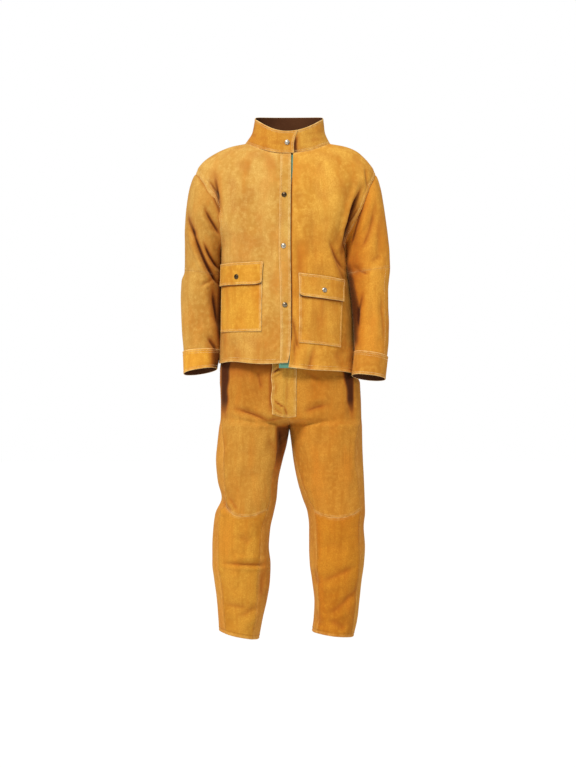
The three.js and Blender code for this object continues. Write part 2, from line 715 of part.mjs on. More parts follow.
// Snap cap: a shallow dome with a rolled rim, seated on the leather
function addSnap(name, surface, lastRow, angle, row, seat) {
  const profile = [
    [0, 0],
    [0.85, 0],
    [1, 0.25],
    [0.94, 0.55],
    [0.45, 0.92],
    [0, 1],
  ].map(([r, h]) => new THREE.Vector2(r * snapRadius, h * snapHeight));
  const dome = new THREE.LatheGeometry(profile, 10);
  const normal = outwards(surface, angle, row, lastRow, 1);
  dome.applyQuaternion(new THREE.Quaternion().setFromUnitVectors(new THREE.Vector3(0, 1, 0), normal));
  const at = surface(angle, row).addScaledVector(normal, seat + seamGap);
  dome.translate(at.x, at.y, at.z);
  jacket.add(meshOf(name, solidOf(dome), agedNickel));
}
placketSnaps.forEach((z, i) => {
  const row = torsoRowAt(z);
  const angle = mix(frontEdgeAngle("placket", row), frontEdgeAngle("right", row), 0.47);
  addSnap(`snap_front_${i + 1}`, torso, torsoTop, angle, row, oneLayer);
});
addSnap("snap_collar", collarWall, collarSections.length - 1, collarSnap.angle, collarSnap.row, 0);

// Trousers: a full-length back and a front in two lengths for each leg
const frontColumns = 7;
const backColumns = 12;
const lowerRows = 7;
const upperLevels = [9.3, 10.2, 11, 12, 13, 14, 15, 17, 18, 20]; // rows of the rings above the knee seam
const upperRows = upperLevels.length;
function makeLeg(side, leg, folds) {
  const surface = legSurface(leg, folds, false);
  const lastRow = leg.rings.length - 1;
  const kneeRow = (s, gap) => {
    const level = mix(leg.knee.outer, leg.knee.inner, s) - leg.knee.dip * Math.sin(Math.PI * s);
    return rowWhere(leg.rings, "outerZ", level + gap);
  };
  const frontPlace = (s, row) => {
    const ring = rowAt(leg.rings, row);
    return [mix(ring.outSeam * degree + seamAngle, ring.inSeam * degree - seamAngle, s), row];
  };
  const backPlace = (s, row) => {
    const ring = rowAt(leg.rings, row);
    const end = (ring.outSeam + 360) * degree;
    return [mix(ring.inSeam * degree + seamAngle, end - seamAngle, s), row];
  };
  const front = { surface, lastRow, columns: frontColumns, facing: leg.facing };
  const aboveKnee = (knee, t) => (t === 0 ? knee : upperLevels[Math.round(t * upperRows) - 1]);
  const upper = wall({
    ...front,
    rows: upperRows,
    place: (s, t) => frontPlace(s, aboveKnee(kneeRow(s, seamGap), t)),
  });
  const lower = wall({
    ...front,
    rows: lowerRows,
    place: (s, t) => frontPlace(s, mix(0, kneeRow(s, -seamGap), t)),
  });
  const backRow = (s, t) => {
    const step = t * (lowerRows + upperRows);
    const knee = kneeRow(1 - s, 0);
    if (step <= lowerRows) return mix(0, knee, step / lowerRows);
    return aboveKnee(knee, (step - lowerRows) / upperRows);
  };
  const rear = wall({
    ...front,
    surface: legSurface(leg, folds, true),
    columns: backColumns,
    rows: lowerRows + upperRows,
    place: (s, t) => backPlace(s, backRow(s, t)),
  });
  trousers.add(
    meshOf(`trouser_front_upper_${side}`, upper, trouserSuede),
    meshOf(`trouser_front_lower_${side}`, lower, trouserSuede),
    meshOf(`trouser_back_${side}`, rear, trouserSuede),
  );
  return surface;
}
const halfRight = makeLeg("right", legRight, legRightFolds);
const halfLeft = makeLeg("left", legLeft, legLeftFolds);

// Fly flap over the centre seam, by its x in the front view and the row of the rings under it
function flySurface(x, row) {
  const [half, leg] = x < centreSeam ? [halfRight, legRight] : [halfLeft, legLeft];
  const ring = rowAt(leg.rings, row);
  const share = Math.abs(x - ring.innerX) / Math.abs(ring.outerX - ring.innerX);
  return half(2 * Math.acos(share ** (ring.square / 2)), row);
}
const flyRow = (z) => rowWhere(legRight.rings, "outerZ", z);
const flyLevels = [flyRow(fly.bottom), 15, 17, 18, flyRow(fly.top)];
const flyFlap = wall({
  surface: flySurface,
  lastRow: legRight.rings.length - 1,
  columns: 6,
  rows: flyLevels.length - 1,
  outer: oneLayer + seamGap,
  inner: seatGap + seamGap,
  place: (s, t) => [mix(fly.right, fly.left, s), flyLevels[Math.round(t * (flyLevels.length - 1))]],
});

// Waistband round the top of both halves
const waistSections = [legRight, legLeft].map((leg) => leg.rings.at(-1));
function waistSurface(angle, row) {
  const z = waistSections[0].outerZ - waistbandHeight * (1 - row);
  const half = Math.cos(angle) < 0 ? legRight : legLeft;
  const ring = rowAt(half.rings, rowWhere(half.rings, "outerZ", z));
  const across = Math.abs(bent(Math.cos(angle), ring.square));
  const along = bent(Math.sin(angle), ring.square);
  return new THREE.Vector3(
    mix(centreSeam, ring.outerX, across),
    ring.y + along * (along < 0 ? ring.front : ring.back),
    z,
  );
}
const waistAngles = [
  ...evenSteps(0, Math.PI, 2 * backColumns).slice(0, -1),
  ...evenSteps(Math.PI, 2 * Math.PI, 2 * frontColumns).slice(0, -1),
];
const waistband = wall({
  surface: waistSurface,
  lastRow: 1,
  columns: waistAngles.length,
  rows: 1,
  closed: true,
  outer: oneLayer,
  inner: seatGap,
  place: (s, t) => [waistAngles[Math.round(s * waistAngles.length)], t],
});
trousers.add(
  meshOf("waistband", waistband, trouserSuede),
  meshOf("fly_flap", flyFlap, trouserSuede),
);

export default suit;
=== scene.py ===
import math
import bpy
import numpy as np
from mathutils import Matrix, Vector
from mathutils.bvhtree import BVHTree
from mathutils.kdtree import KDTree


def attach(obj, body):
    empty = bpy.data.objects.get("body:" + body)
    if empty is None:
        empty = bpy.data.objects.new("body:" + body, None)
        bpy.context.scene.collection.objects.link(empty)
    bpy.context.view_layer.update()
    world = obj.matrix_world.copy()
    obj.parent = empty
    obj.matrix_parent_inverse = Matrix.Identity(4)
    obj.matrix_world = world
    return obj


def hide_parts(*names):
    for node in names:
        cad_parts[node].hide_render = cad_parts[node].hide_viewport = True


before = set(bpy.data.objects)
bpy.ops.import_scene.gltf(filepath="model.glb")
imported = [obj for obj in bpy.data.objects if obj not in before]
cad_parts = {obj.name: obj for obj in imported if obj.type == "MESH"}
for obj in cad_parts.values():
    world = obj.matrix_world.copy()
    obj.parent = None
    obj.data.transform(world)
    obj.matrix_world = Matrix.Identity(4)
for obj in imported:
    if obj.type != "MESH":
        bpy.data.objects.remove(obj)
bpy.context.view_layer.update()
scene = bpy.context.scene
degree = math.pi / 180
leather = 2.0  # mm, wall of split cowhide
sewnAt = 5.6  # mm from a sewn edge to its first row of stitches
mm = 0.001
print("frame loaded")

# camera where the photograph was taken from, level with the middle of the suit
photoView = {"distance": 5.5, "side": 0.003, "height": -0.702, "lens": 85.94}
cameraData = bpy.data.cameras.new("photoCamera")
cameraData.sensor_width = 36
cameraData.lens = photoView["lens"]
camera = bpy.data.objects.new("photoCamera", cameraData)
camera.location = (photoView["side"], -photoView["distance"], photoView["height"])
camera.rotation_euler = (math.pi / 2, 0, 0)
scene.collection.objects.link(camera)
scene.camera = camera
scene.view_settings.view_transform = "Standard"


def linear(hexColour, alpha=1.0):
    parts = [int(hexColour[i:i + 2], 16) / 255 for i in (1, 3, 5)]
    return [c / 12.92 if c <= 0.04045 else ((c + 0.055) / 1.055) ** 2.4 for c in parts] + [alpha]


def addNode(tree, kind, inputs=None, **settings):
    node = tree.nodes.new(kind)
    for key, value in settings.items():
        setattr(node, key, value)
    for key, value in (inputs or {}).items():
        if isinstance(value, bpy.types.NodeSocket):
            tree.links.new(value, node.inputs[key])
        else:
            node.inputs[key].default_value = value
    return node


# studio: a pale floor, soft light from all round and one broad, even light high in front, a little to the left
studio = {"floor": -2.65, "ambient": 0.46, "key": 2.9, "soft": 17, "high": 50, "aside": 24, "floorColour": "#f7f6f4"}
world = bpy.data.worlds.new("studioWorld")
world.use_nodes = True
scene.world = world
sky = world.node_tree
sky.nodes.clear()
seen = addNode(sky, "ShaderNodeLightPath").outputs["Is Camera Ray"]
strength = addNode(sky, "ShaderNodeMapRange", {0: seen, 3: studio["ambient"], 4: 1.0}).outputs[0]
glow = addNode(sky, "ShaderNodeBackground", {"Color": (1, 1, 1, 1), "Strength": strength}).outputs[0]
addNode(sky, "ShaderNodeOutputWorld", {"Surface": glow})
keyData = bpy.data.lights.new("keyLight", "SUN")
keyData.energy = studio["key"]
keyData.angle = math.radians(studio["soft"])
key = bpy.data.objects.new("keyLight", keyData)
key.rotation_euler = (math.radians(90 - studio["high"]), 0, -math.radians(studio["aside"]))
key.location = (-1.5, -3.5, 2.5)
scene.collection.objects.link(key)
floorMesh = bpy.data.meshes.new("studioFloor")
reach = 40
floorMesh.from_pydata(
    [(x * reach, y * reach, studio["floor"]) for x, y in ((-1, -1), (1, -1), (1, 1), (-1, 1))], [], [(0, 1, 2, 3)]
)
floor = bpy.data.objects.new("studioFloor", floorMesh)
scene.collection.objects.link(floor)
floorPaint = bpy.data.materials.new("paintedStudioFloor")  # matt emulsion, one even pale tone
floorPaint.use_nodes = True
floorPaint.node_tree.nodes["Principled BSDF"].inputs["Base Color"].default_value = linear(studio["floorColour"])
floorPaint.node_tree.nodes["Principled BSDF"].inputs["Roughness"].default_value = 0.9
floorMesh.materials.append(floorPaint)
print("camera and studio set")


def startMaterial(name):  # an empty material and the place its patterns are drawn from, in metres
    material = bpy.data.materials.new(name)
    material.use_nodes = True
    tree = material.node_tree
    tree.nodes.clear()
    return material, tree, addNode(tree, "ShaderNodeTexCoord").outputs["Object"]


# split cowhide, brushed to a nap: matt, cloudy golden colour, a warm fuzz at the rims, paler where edges and seams
# are rubbed, darker with painted shade in the creases, beside and under other parts; darker also in random blotches
# and where a warm tint is set
def makeSuede(name, base, deep, pale, warm="#c8731b", rubbed="#eecb8a", seed=0.0):
    material, tree, place = startMaterial(name)
    moved = addNode(tree, "ShaderNodeMapping", {
        "Vector": place, "Location": (seed, seed * 0.7, seed * 1.3),
    }).outputs[0]
    tall = addNode(tree, "ShaderNodeMapping", {"Vector": moved, "Scale": (1, 1, 0.3)}).outputs[0]
    long = addNode(tree, "ShaderNodeMapping", {"Vector": moved, "Scale": (1, 1, 0.14)}).outputs[0]
    noise = {}
    for label, vector, size, detail in (
        ("cloud", tall, 0.07, 4.0),  # 70 mm, and so on
        ("patch", moved, 0.013, 5.0),
        ("blush", tall, 0.045, 2.0),
        ("streak", long, 0.011, 4.0),
        ("nap", moved, 0.0036, 3.0),  # fibres are under 1 mm, drawn 3 to 4 mm long to show
    ):
        noise[label] = addNode(tree, "ShaderNodeTexNoise", {
            "Vector": vector, "Scale": 1 / size, "Detail": detail,
        }).outputs[0]
    crinkle = addNode(tree, "ShaderNodeTexNoise", {
        "Vector": moved, "Scale": 1 / 0.06, "Detail": 3.0, "Roughness": 0.55,
    }, noise_type="RIDGED_MULTIFRACTAL").outputs[0]
    marks = {
        label: addNode(tree, "ShaderNodeAttribute", attribute_name=label).outputs["Fac"]
        for label in ("tan", "crease", "rub")
    }
    colour = linear(deep)
    for amount, low, high, most, tone, blend in (  # each tone laid over the last
        (noise["cloud"], 0.38, 0.6, 1.0, base, "MIX"),
        (noise["patch"], 0.42, 0.7, 0.75, pale, "MIX"),
        (noise["blush"], 0.48, 0.7, 0.5, warm, "MIX"),
        (noise["streak"], 0.52, 0.72, 0.75, deep, "MIX"),
        (noise["nap"], 0.32, 0.68, 0.7, deep, "MIX"),
        # a warmer, darker tint where a panel sets it; then painted shade, a warm brown with a dark core where it is
        # deepest
        (marks["tan"], 0.0, 1.0, 1.0, "#efd8ac", "MULTIPLY"),
        (marks["crease"], 0.0, 0.55, 0.72, "#9f5114", "MIX"),
        (marks["crease"], 0.4, 0.92, 0.94, "#3a1204", "MIX"),
    ):
        share = addNode(tree, "ShaderNodeMapRange", {0: amount, 1: low, 2: high, 4: most}).outputs[0]
        colour = addNode(tree, "ShaderNodeMix", {
            0: share, 6: colour, 7: linear(tone),
        }, data_type="RGBA", blend_type=blend).outputs[2]
    bare = addNode(tree, "ShaderNodeMapRange", {0: noise["patch"], 1: 0.35, 2: 0.62, 3: 0.2, 4: 1.0}).outputs[0]
    bare = addNode(tree, "ShaderNodeMath", {0: marks["rub"], 1: bare}, operation="MULTIPLY").outputs[0]
    colour = addNode(tree, "ShaderNodeMix", {0: bare, 6: colour, 7: linear(rubbed)}, data_type="RGBA").outputs[2]
    rough = addNode(tree, "ShaderNodeMapRange", {0: noise["nap"], 3: 0.82, 4: 1.0}).outputs[0]
    fuzz = addNode(tree, "ShaderNodeMix", {0: 0.4, 2: noise["nap"], 3: noise["patch"]}).outputs[0]
    bump = addNode(tree, "ShaderNodeBump", {"Strength": 0.45, "Distance": 0.0035, "Height": crinkle}).outputs[0]
    bump = addNode(tree, "ShaderNodeBump", {
        "Strength": 0.4, "Distance": 0.0016, "Height": fuzz, "Normal": bump,
    }).outputs[0]
    shader = addNode(tree, "ShaderNodeBsdfPrincipled", {
        "Base Color": colour, "Roughness": rough, "Normal": bump, "Specular IOR Level": 0.15, "IOR": 1.45,
        "Sheen Weight": 0.12, "Sheen Roughness": 0.45, "Sheen Tint": linear("#ffd58c"),
    }).outputs[0]
    addNode(tree, "ShaderNodeOutputMaterial", {"Surface": shader})
    return material


# the same hide's inside, unbrushed: dull dark brown, partly painted shade, slightly blotched; and its cut edge, in
# other tones
def makeInside(name, base, blotch):
    material, tree, place = startMaterial(name)
    blotchAndShade = addNode(tree, "ShaderNodeTexNoise", {"Vector": place, "Scale": 1 / 0.03, "Detail": 3.0}).outputs[0]
    colour = addNode(tree, "ShaderNodeMix", {
        0: blotchAndShade, 6: linear(base), 7: linear(blotch),
    }, data_type="RGBA").outputs[2]
    grit = addNode(tree, "ShaderNodeTexNoise", {"Vector": place, "Scale": 1 / 0.004, "Detail": 2.0}).outputs[0]
    bump = addNode(tree, "ShaderNodeBump", {"Strength": 0.25, "Distance": 0.001, "Height": grit}).outputs[0]
    shader = addNode(tree, "ShaderNodeBsdfPrincipled", {
        "Base Color": colour, "Normal": bump, "Roughness": 0.95, "Specular IOR Level": 0.1,
    }).outputs[0]
    addNode(tree, "ShaderNodeOutputMaterial", {"Surface": shader})
    return material


# flame-retardant cotton drill, woven and dyed green: matt, with the weave's fine cross ribs
def makeCotton():
    material, tree, place = startMaterial("dyedCottonDrill")
    turned = addNode(tree, "ShaderNodeMapping", {"Vector": place, "Rotation": (0, 0.9, 0)}).outputs[0]
    rib = addNode(tree, "ShaderNodeTexWave", {  # real ribs are 0.5 mm apart, drawn at 1.5 mm so that they show
        "Vector": turned, "Scale": 1 / 0.0015 / 6.283, "Distortion": 0.6,
    }).outputs[1]
    fade = addNode(tree, "ShaderNodeTexNoise", {"Vector": place, "Scale": 1 / 0.02, "Detail": 3.0}).outputs[0]
    colour = linear("#3c6b59")
    for amount, tone in ((fade, "#74a389"), (rib, "#54846f")):
        colour = addNode(tree, "ShaderNodeMix", {0: amount, 6: colour, 7: linear(tone)}, data_type="RGBA").outputs[2]
    bump = addNode(tree, "ShaderNodeBump", {"Strength": 0.3, "Distance": 0.0005, "Height": rib}).outputs[0]
    shader = addNode(tree, "ShaderNodeBsdfPrincipled", {
        "Base Color": colour, "Normal": bump, "Roughness": 0.9, "Sheen Weight": 0.15, "Specular IOR Level": 0.2,
    }).outputs[0]
    addNode(tree, "ShaderNodeOutputMaterial", {"Surface": shader})
    return material


# pressed brass caps with worn nickel plate: satin grey metal, brown where the plate has gone
def makeNickel(name, plate, bare):
    material, tree, place = startMaterial(name)
    wear = addNode(tree, "ShaderNodeTexNoise", {"Vector": place, "Scale": 1 / 0.005, "Detail": 4.0}).outputs[0]
    marks = addNode(tree, "ShaderNodeMapRange", {0: wear, 1: 0.42, 2: 0.66}).outputs[0]
    colour = addNode(tree, "ShaderNodeMix", {
        0: marks, 6: linear(plate), 7: linear(bare),
    }, data_type="RGBA").outputs[2]
    rough = addNode(tree, "ShaderNodeMapRange", {0: wear, 3: 0.22, 4: 0.5}).outputs[0]
    shader = addNode(tree, "ShaderNodeBsdfPrincipled", {
        "Base Color": colour, "Metallic": 1.0, "Roughness": rough,
    }).outputs[0]
    addNode(tree, "ShaderNodeOutputMaterial", {"Surface": shader})
    return material


# waxed cotton thread, twisted: pale cream, soft sheen, dulled where it has picked up dirt
def makeThread(name, soiled, clean):
    material, tree, place = startMaterial(name)
    soil = addNode(tree, "ShaderNodeTexNoise", {"Vector": place, "Scale": 1 / 0.04, "Detail": 2.0}).outputs[0]
    soil = addNode(tree, "ShaderNodeMapRange", {0: soil, 1: 0.35, 2: 0.65}).outputs[0]
    colour = addNode(tree, "ShaderNodeMix", {
        0: soil, 6: linear(soiled), 7: linear(clean),
    }, data_type="RGBA").outputs[2]
    shader = addNode(tree, "ShaderNodeBsdfPrincipled", {
        "Base Color": colour, "Roughness": 0.6, "Specular IOR Level": 0.3,
    }).outputs[0]
    addNode(tree, "ShaderNodeOutputMaterial", {"Surface": shader})
    return material


hides = {  # one cut of hide for each panel, as they differ in the photograph: base, deep and pale tones
    "frontRight": ("#d7aa58", "#be893a", "#e0b561"),
    "frontLeft": ("#e0aa48", "#c6892f", "#eab54f"),
    "back": ("#d89d43", "#bf7e2c", "#e1a74a"),
    "sleeveRight": ("#ce9f4d", "#b68033", "#d7a955"),
    "sleeveLeft": ("#d69837", "#bd7a23", "#dfa23c"),
    "cuffRight": ("#e3a73b", "#c98626", "#edb142"),
    "cuffLeft": ("#cf9338", "#b77624", "#d89c3e"),
    "collar": ("#d5a042", "#bc802b", "#deaa49"),
    "placket": ("#d2a755", "#ba8638", "#dbb15e"),
    "pocketRight": ("#dba23a", "#c28225", "#e4ac40"),
    "pocketLeft": ("#d79d3d", "#be7e27", "#e0a743"),
    "trousers": ("#cc9039", "#b57425", "#d59940"),
    "thighRight": ("#c6903a", "#af7325", "#cf9840"),
    "thighLeft": ("#c78930", "#b06e1e", "#d09135"),
    "shinRight": ("#ca9031", "#b3741f", "#d39936"),
    "shinLeft": ("#c17f21", "#ab6513", "#ca8725"),
    "fly": ("#c9963e", "#b27928", "#d2a045"),
}
suede = {
    part: makeSuede("brushedSplitCowhide" + part[0].upper() + part[1:], *tones, seed=1.3 * k)
    for k, (part, tones) in enumerate(hides.items())
}
# the inside's dark brown is partly painted shade
inside = makeInside("cowhideInsideWithPaintedShade", "#4a2a17", "#5d3820")
cutEdge = makeInside("rawCowhideEdge", "#e9c98f", "#d9ad68")
soiledEdge = makeInside("soiledCowhideEdge", "#a8702b", "#8f5a20")
cotton = makeCotton()
nickel = makeNickel("wornNickelPlate", "#cfc8b8", "#5c4a34")
bareBrass = makeNickel("nickelPlateRubbedOff", "#5d4c38", "#3a2c1c")
dullNickel = makeNickel("dulledNickelPlate", "#94866f", "#4d3d2a")
threads = {
    "jacket": makeThread("waxedCottonThread", "#d2a052", "#efd49a"),
    "trousers": makeThread("waxedCottonThreadSoiled", "#915718", "#a76e28"),
    "kneesAndFly": makeThread("waxedCottonThreadDulled", "#bd8537", "#dcb164"),
}
print("materials made")


# rows of numbers read as smooth curves down each named column
def table(columns, rows):
    data = np.array(rows, float)
    rise = np.diff(data, axis=0)
    slopes = np.zeros_like(data)
    slopes[0], slopes[-1] = rise[0], rise[-1]
    before, after = rise[:-1], rise[1:]
    steady = before * after > 0
    total = np.where(steady, before + after, 1)
    slopes[1:-1] = np.where(steady, 2 * before * after / total, 0)
    return {"names": columns.split(), "data": data, "slopes": slopes, "last": len(rows) - 1}


def readRow(rows, at):
    at = np.asarray(at, float)
    i = np.clip(np.floor(at).astype(int), 0, rows["last"] - 1)
    f = np.clip(at - i, 0, 1)[..., None]
    a, b = rows["data"][i], rows["data"][i + 1]
    start, end, rise = rows["slopes"][i], rows["slopes"][i + 1], b - a
    made = a + f * (start + f * (3 * rise - 2 * start - end + f * (start + end - 2 * rise)))
    return {name: made[..., k] for k, name in enumerate(rows["names"])}


def rowWhere(rows, column, value):  # the fractional row where a rising column has a value
    value = np.asarray(value, float)
    low, high = np.zeros_like(value), np.full_like(value, rows["last"])
    for _ in range(30):
        middle = (low + high) / 2
        less = readRow(rows, middle)[column] < value
        low, high = np.where(less, middle, low), np.where(less, high, middle)
    return (low + high) / 2


def mix(a, b, f):
    return a + (b - a) * f


def ease(value, low, high):
    f = np.clip((value - low) / (high - low), 0, 1)
    return f * f * (3 - 2 * f)


def hill(value, middle, width):
    return np.exp(-(((value - middle) / width) ** 2))


def bent(value, square):
    return np.sign(value) * np.abs(value) ** (2 / square)


def waver(points, seed, size, waves=14):  # slow unevenness of hide that has been worn, about 1 high
    draw = np.random.default_rng(seed)
    way = draw.normal(size=(waves, 3))
    way /= np.linalg.norm(way, axis=1)[:, None]
    way *= 2 * math.pi / (size * draw.uniform(0.7, 1.5, waves))[:, None]
    return np.sin(points @ way.T + draw.uniform(0, 2 * math.pi, waves)).sum(-1) / math.sqrt(waves)


# sizes of the suit in mm, within 5 mm of the solids' own: rings of the body, hem to neck
torsoRings = table("z right left front back square frontDrop backRise", [
    [-690, 206, 208, 151, 143, 2.1, 0, 0],
    [-648, 204, 206, 149, 141, 2.1, 0, 0],
    [-545, 199.5, 201, 146, 136, 2.2, 0, 0],
    [-450, 197, 193, 143, 133, 2.3, 0, 0],
    [-380, 196.5, 184, 141, 133, 2.4, 0, 0],
    [-300, 197, 176, 139, 136, 2.4, 0, 0],
    [-230, 222, 208, 138, 138, 2.35, 0, 0],
    [-170, 245, 236, 135, 137, 2.3, 4, 0],
    [-120, 263, 255, 130, 132, 2.2, 14, 1],
    [-85, 272, 264, 125, 126, 2.15, 26, 2],
    [-62, 269, 260, 121, 121, 2.1, 34, 3],
    [-42, 256, 247, 117, 115, 2.1, 39, 4],
    [-22, 232, 229, 112, 108, 2.1, 43, 6],
    [-4, 200, 207, 106, 98, 2.1, 45, 9],
    [9, 166, 175, 99, 85, 2.05, 44, 13],
    [18, 122, 127, 86, 64, 2, 38, 22],
])
collarRings = table("z right left front back square frontDrop backRise", [
    [18.2, 122.5, 128, 87, 65, 2, 38, 22],
    [54, 101, 113, 83, 69, 2, 40, 20],
    [90, 94, 108, 79, 73, 2, 44, 17],
])
frontEdges = table("z right left placket", [
    [-690, -7, 2, -21],
    [-655, -3, 5, -20],
    [-615, 6, 9, -19],
    [-570, 9, 9.8, -18],
    [-450, 10, 10.6, -19],
    [-300, 8, 8.6, -23],
    [-150, 9, 10.2, -21],
    [-70, 10, 17, -19],
    [20, 10, 19, -18],
])
sleeveColumns = "outerX outerZ innerX innerZ y front back square lift"
sleeveRight = {"elbow": 6, "facing": 1, "shaded": 0.7, "tan": 0.2, "elbowShade": 0.0, "cuffShade": 0.8}
sleeveRight["rings"] = table(sleeveColumns, [
    [-307, -672, -211.5, -656, -12, 50, 50, 2.1, 8],
    [-310, -603, -201.3, -598, -6, 54, 54, 2.1, 6],
    [-315, -549, -199.5, -545, 2, 60, 56, 2, 4],
    [-318, -495, -197.5, -492, 13, 71, 55, 2, 3],
    [-320, -441, -196.5, -440, 23, 83, 55, 2, 2],
    [-318, -394, -196.5, -402, 30, 90, 54, 2, 0],
    [-309, -362, -196, -378, 32, 94, 54, 2, 0],
    [-308, -318, -196, -356, 30, 93, 57, 2, 0],
    [-308, -262, -195, -337, 25, 91, 62, 2, 0],
    [-306, -208, -195.5, -322, 18, 87, 68, 2.05, 0],
    [-300, -156, -196.5, -312, 10, 85, 74, 2.1, 0],
    [-290, -108, -197, -304, 4, 85, 78, 2.15, 0],
    [-272, -74, -192, -296, 2, 84, 78, 2.2, 0],
    [-240, -80, -165, -282, 2, 82, 76, 2.2, 0],
])
sleeveLeft = {"elbow": 7, "facing": -1, "shaded": 0.5, "tan": 0.8, "elbowShade": 0.5, "cuffShade": 0.0}
sleeveLeft["rings"] = table(sleeveColumns, [
    [289, -688, 194, -677, -78, 50, 50, 2.1, 8],
    [297, -621, 201, -606, -68, 54, 54, 2.1, 7],
    [302, -570, 198, -566, -58, 57, 57, 2, 6],
    [303, -520, 196.5, -518, -54, 55, 66, 2, 5],
    [301, -468, 192.5, -468, -52, 52, 76, 2, 4],
    [301, -425, 187.5, -426, -50, 52, 84, 2, 2],
    [304, -388, 184, -398, -46, 52, 90, 2, 0],
    [307, -356, 179.8, -374, -40, 53, 91, 2, 0],
    [306, -310, 177.5, -352, -29, 58, 91, 2, 0],
    [302, -260, 176, -334, -17, 66, 84, 2, 0],
    [296, -210, 175.5, -320, -7, 72, 79, 2.05, 0],
    [289, -160, 174.5, -310, 0, 72, 76, 2.1, 0],
    [280, -112, 174, -302, 1, 66, 78, 2.15, 0],
    [264, -76, 173, -294, 2, 57, 78, 2.2, 0],
    [232, -82, 146, -280, 2, 52, 76, 2.2, 0],
])
legDepths = [  # y, front, back, square and open, the same for both legs
    [10, 74, 84, 2, 0], [6, 72, 82, 2, 0], [2, 74, 82, 2, 0], [-2, 76, 82, 2, 0],
    [-4, 78, 83, 2, 0], [-6, 79, 84, 2, 0], [-8, 80, 85, 2, 0], [-8, 82, 86, 2, 0],
    [-8, 84, 88, 2, 0], [-6, 88, 92, 2, 0], [-4, 94, 98, 2, 0], [-2, 99, 104, 2.05, 0],
    [0, 104, 112, 2.1, 0], [0, 109, 117, 2.1, 0.6], [0, 113, 121, 2.1, 0.96], [0, 117, 124, 2.1, 1],
    [0, 119, 126, 2.1, 1], [0, 120, 126, 2.1, 1], [0, 120, 126, 2.1, 1], [0, 120, 126, 2.1, 1],
    [0, 120, 126, 2.1, 1], [0, 117, 122, 2.1, 1], [0, 112, 116, 2.1, 1],
]
legColumns = "outerX outerZ innerX innerZ outSeam inSeam y front back square open"


def legTable(outline):
    return table(legColumns, [own + depths for own, depths in zip(outline, legDepths)])


legRight = {"facing": 1, "knee": (-1059, -1072, 28), "rings": legTable([
    [-204, -1441, -84, -1466, 46, 136],
    [-207, -1395, -72, -1402, 44, 134],
    [-211, -1345, -60, -1350, 42, 128],
    [-218, -1290, -51, -1292, 40, 126],
    [-224, -1240, -49, -1242, 38, 130],
    [-224, -1190, -54, -1190, 37, 134],
    [-221, -1135, -50, -1135, 36, 136],
    [-215, -1090, -40, -1090, 34, 140],
    [-196, -1042, -31, -1045, 34, 142],
    [-208, -990, -26, -990, 40, 142],
    [-213, -930, -13, -930, 42, 142],
    [-209, -880, 0, -880, 36, 142],
    [-203, -828, 8.2, -830, 24, 180],
    [-200.5, -815, 8.2, -816, 18, 180],
    [-199, -802, 8, -802, 14, 180],
    [-198.5, -755, 7.2, -755, 10, 180],
    [-199.5, -722, 7.2, -722, 6, 180],
    [-201, -698, 7.2, -698, 4, 180],
    [-200.9, -686, 7.2, -686, 3.5, 180],
    [-200.7, -677, 7.2, -677, 3, 180],
    [-200.5, -660, 7.2, -660, 2, 180],
    [-190, -590, 7.2, -590, 0, 180],
    [-173, -516, 7.2, -516, 0, 180],
])}
legLeft = {"facing": -1, "knee": (-1074, -1080, 20), "rings": legTable([
    [200, -1458, 75, -1443, 30, 140],
    [211, -1408, 80, -1400, 34, 142],
    [217, -1355, 82, -1355, 36, 144],
    [224, -1290, 75, -1290, 36, 142],
    [231, -1240, 68, -1240, 36, 140],
    [234, -1190, 66, -1190, 36, 138],
    [230, -1130, 66, -1130, 36, 138],
    [234, -1085, 61, -1085, 34, 140],
    [233, -1045, 47, -1045, 32, 146],
    [231, -995, 32, -995, 34, 150],
    [228, -935, 20, -935, 38, 158],
    [226, -880, 13, -880, 38, 167],
    [225, -828, 6.8, -830, 26, 180],
    [224, -815, 6.8, -816, 20, 180],
    [223, -802, 7, -802, 14, 180],
    [222, -755, 7.8, -755, 10, 180],
    [220, -722, 7.8, -722, 6, 180],
    [218.5, -698, 7.8, -698, 4, 180],
    [213, -686, 7.8, -686, 3.5, 180],
    [203.5, -677, 7.8, -677, 3, 180],
    [198.6, -660, 7.8, -660, 2, 180],
    [190, -590, 7.8, -590, 0, 180],
    [174, -516, 7.8, -516, 0, 180],
])}

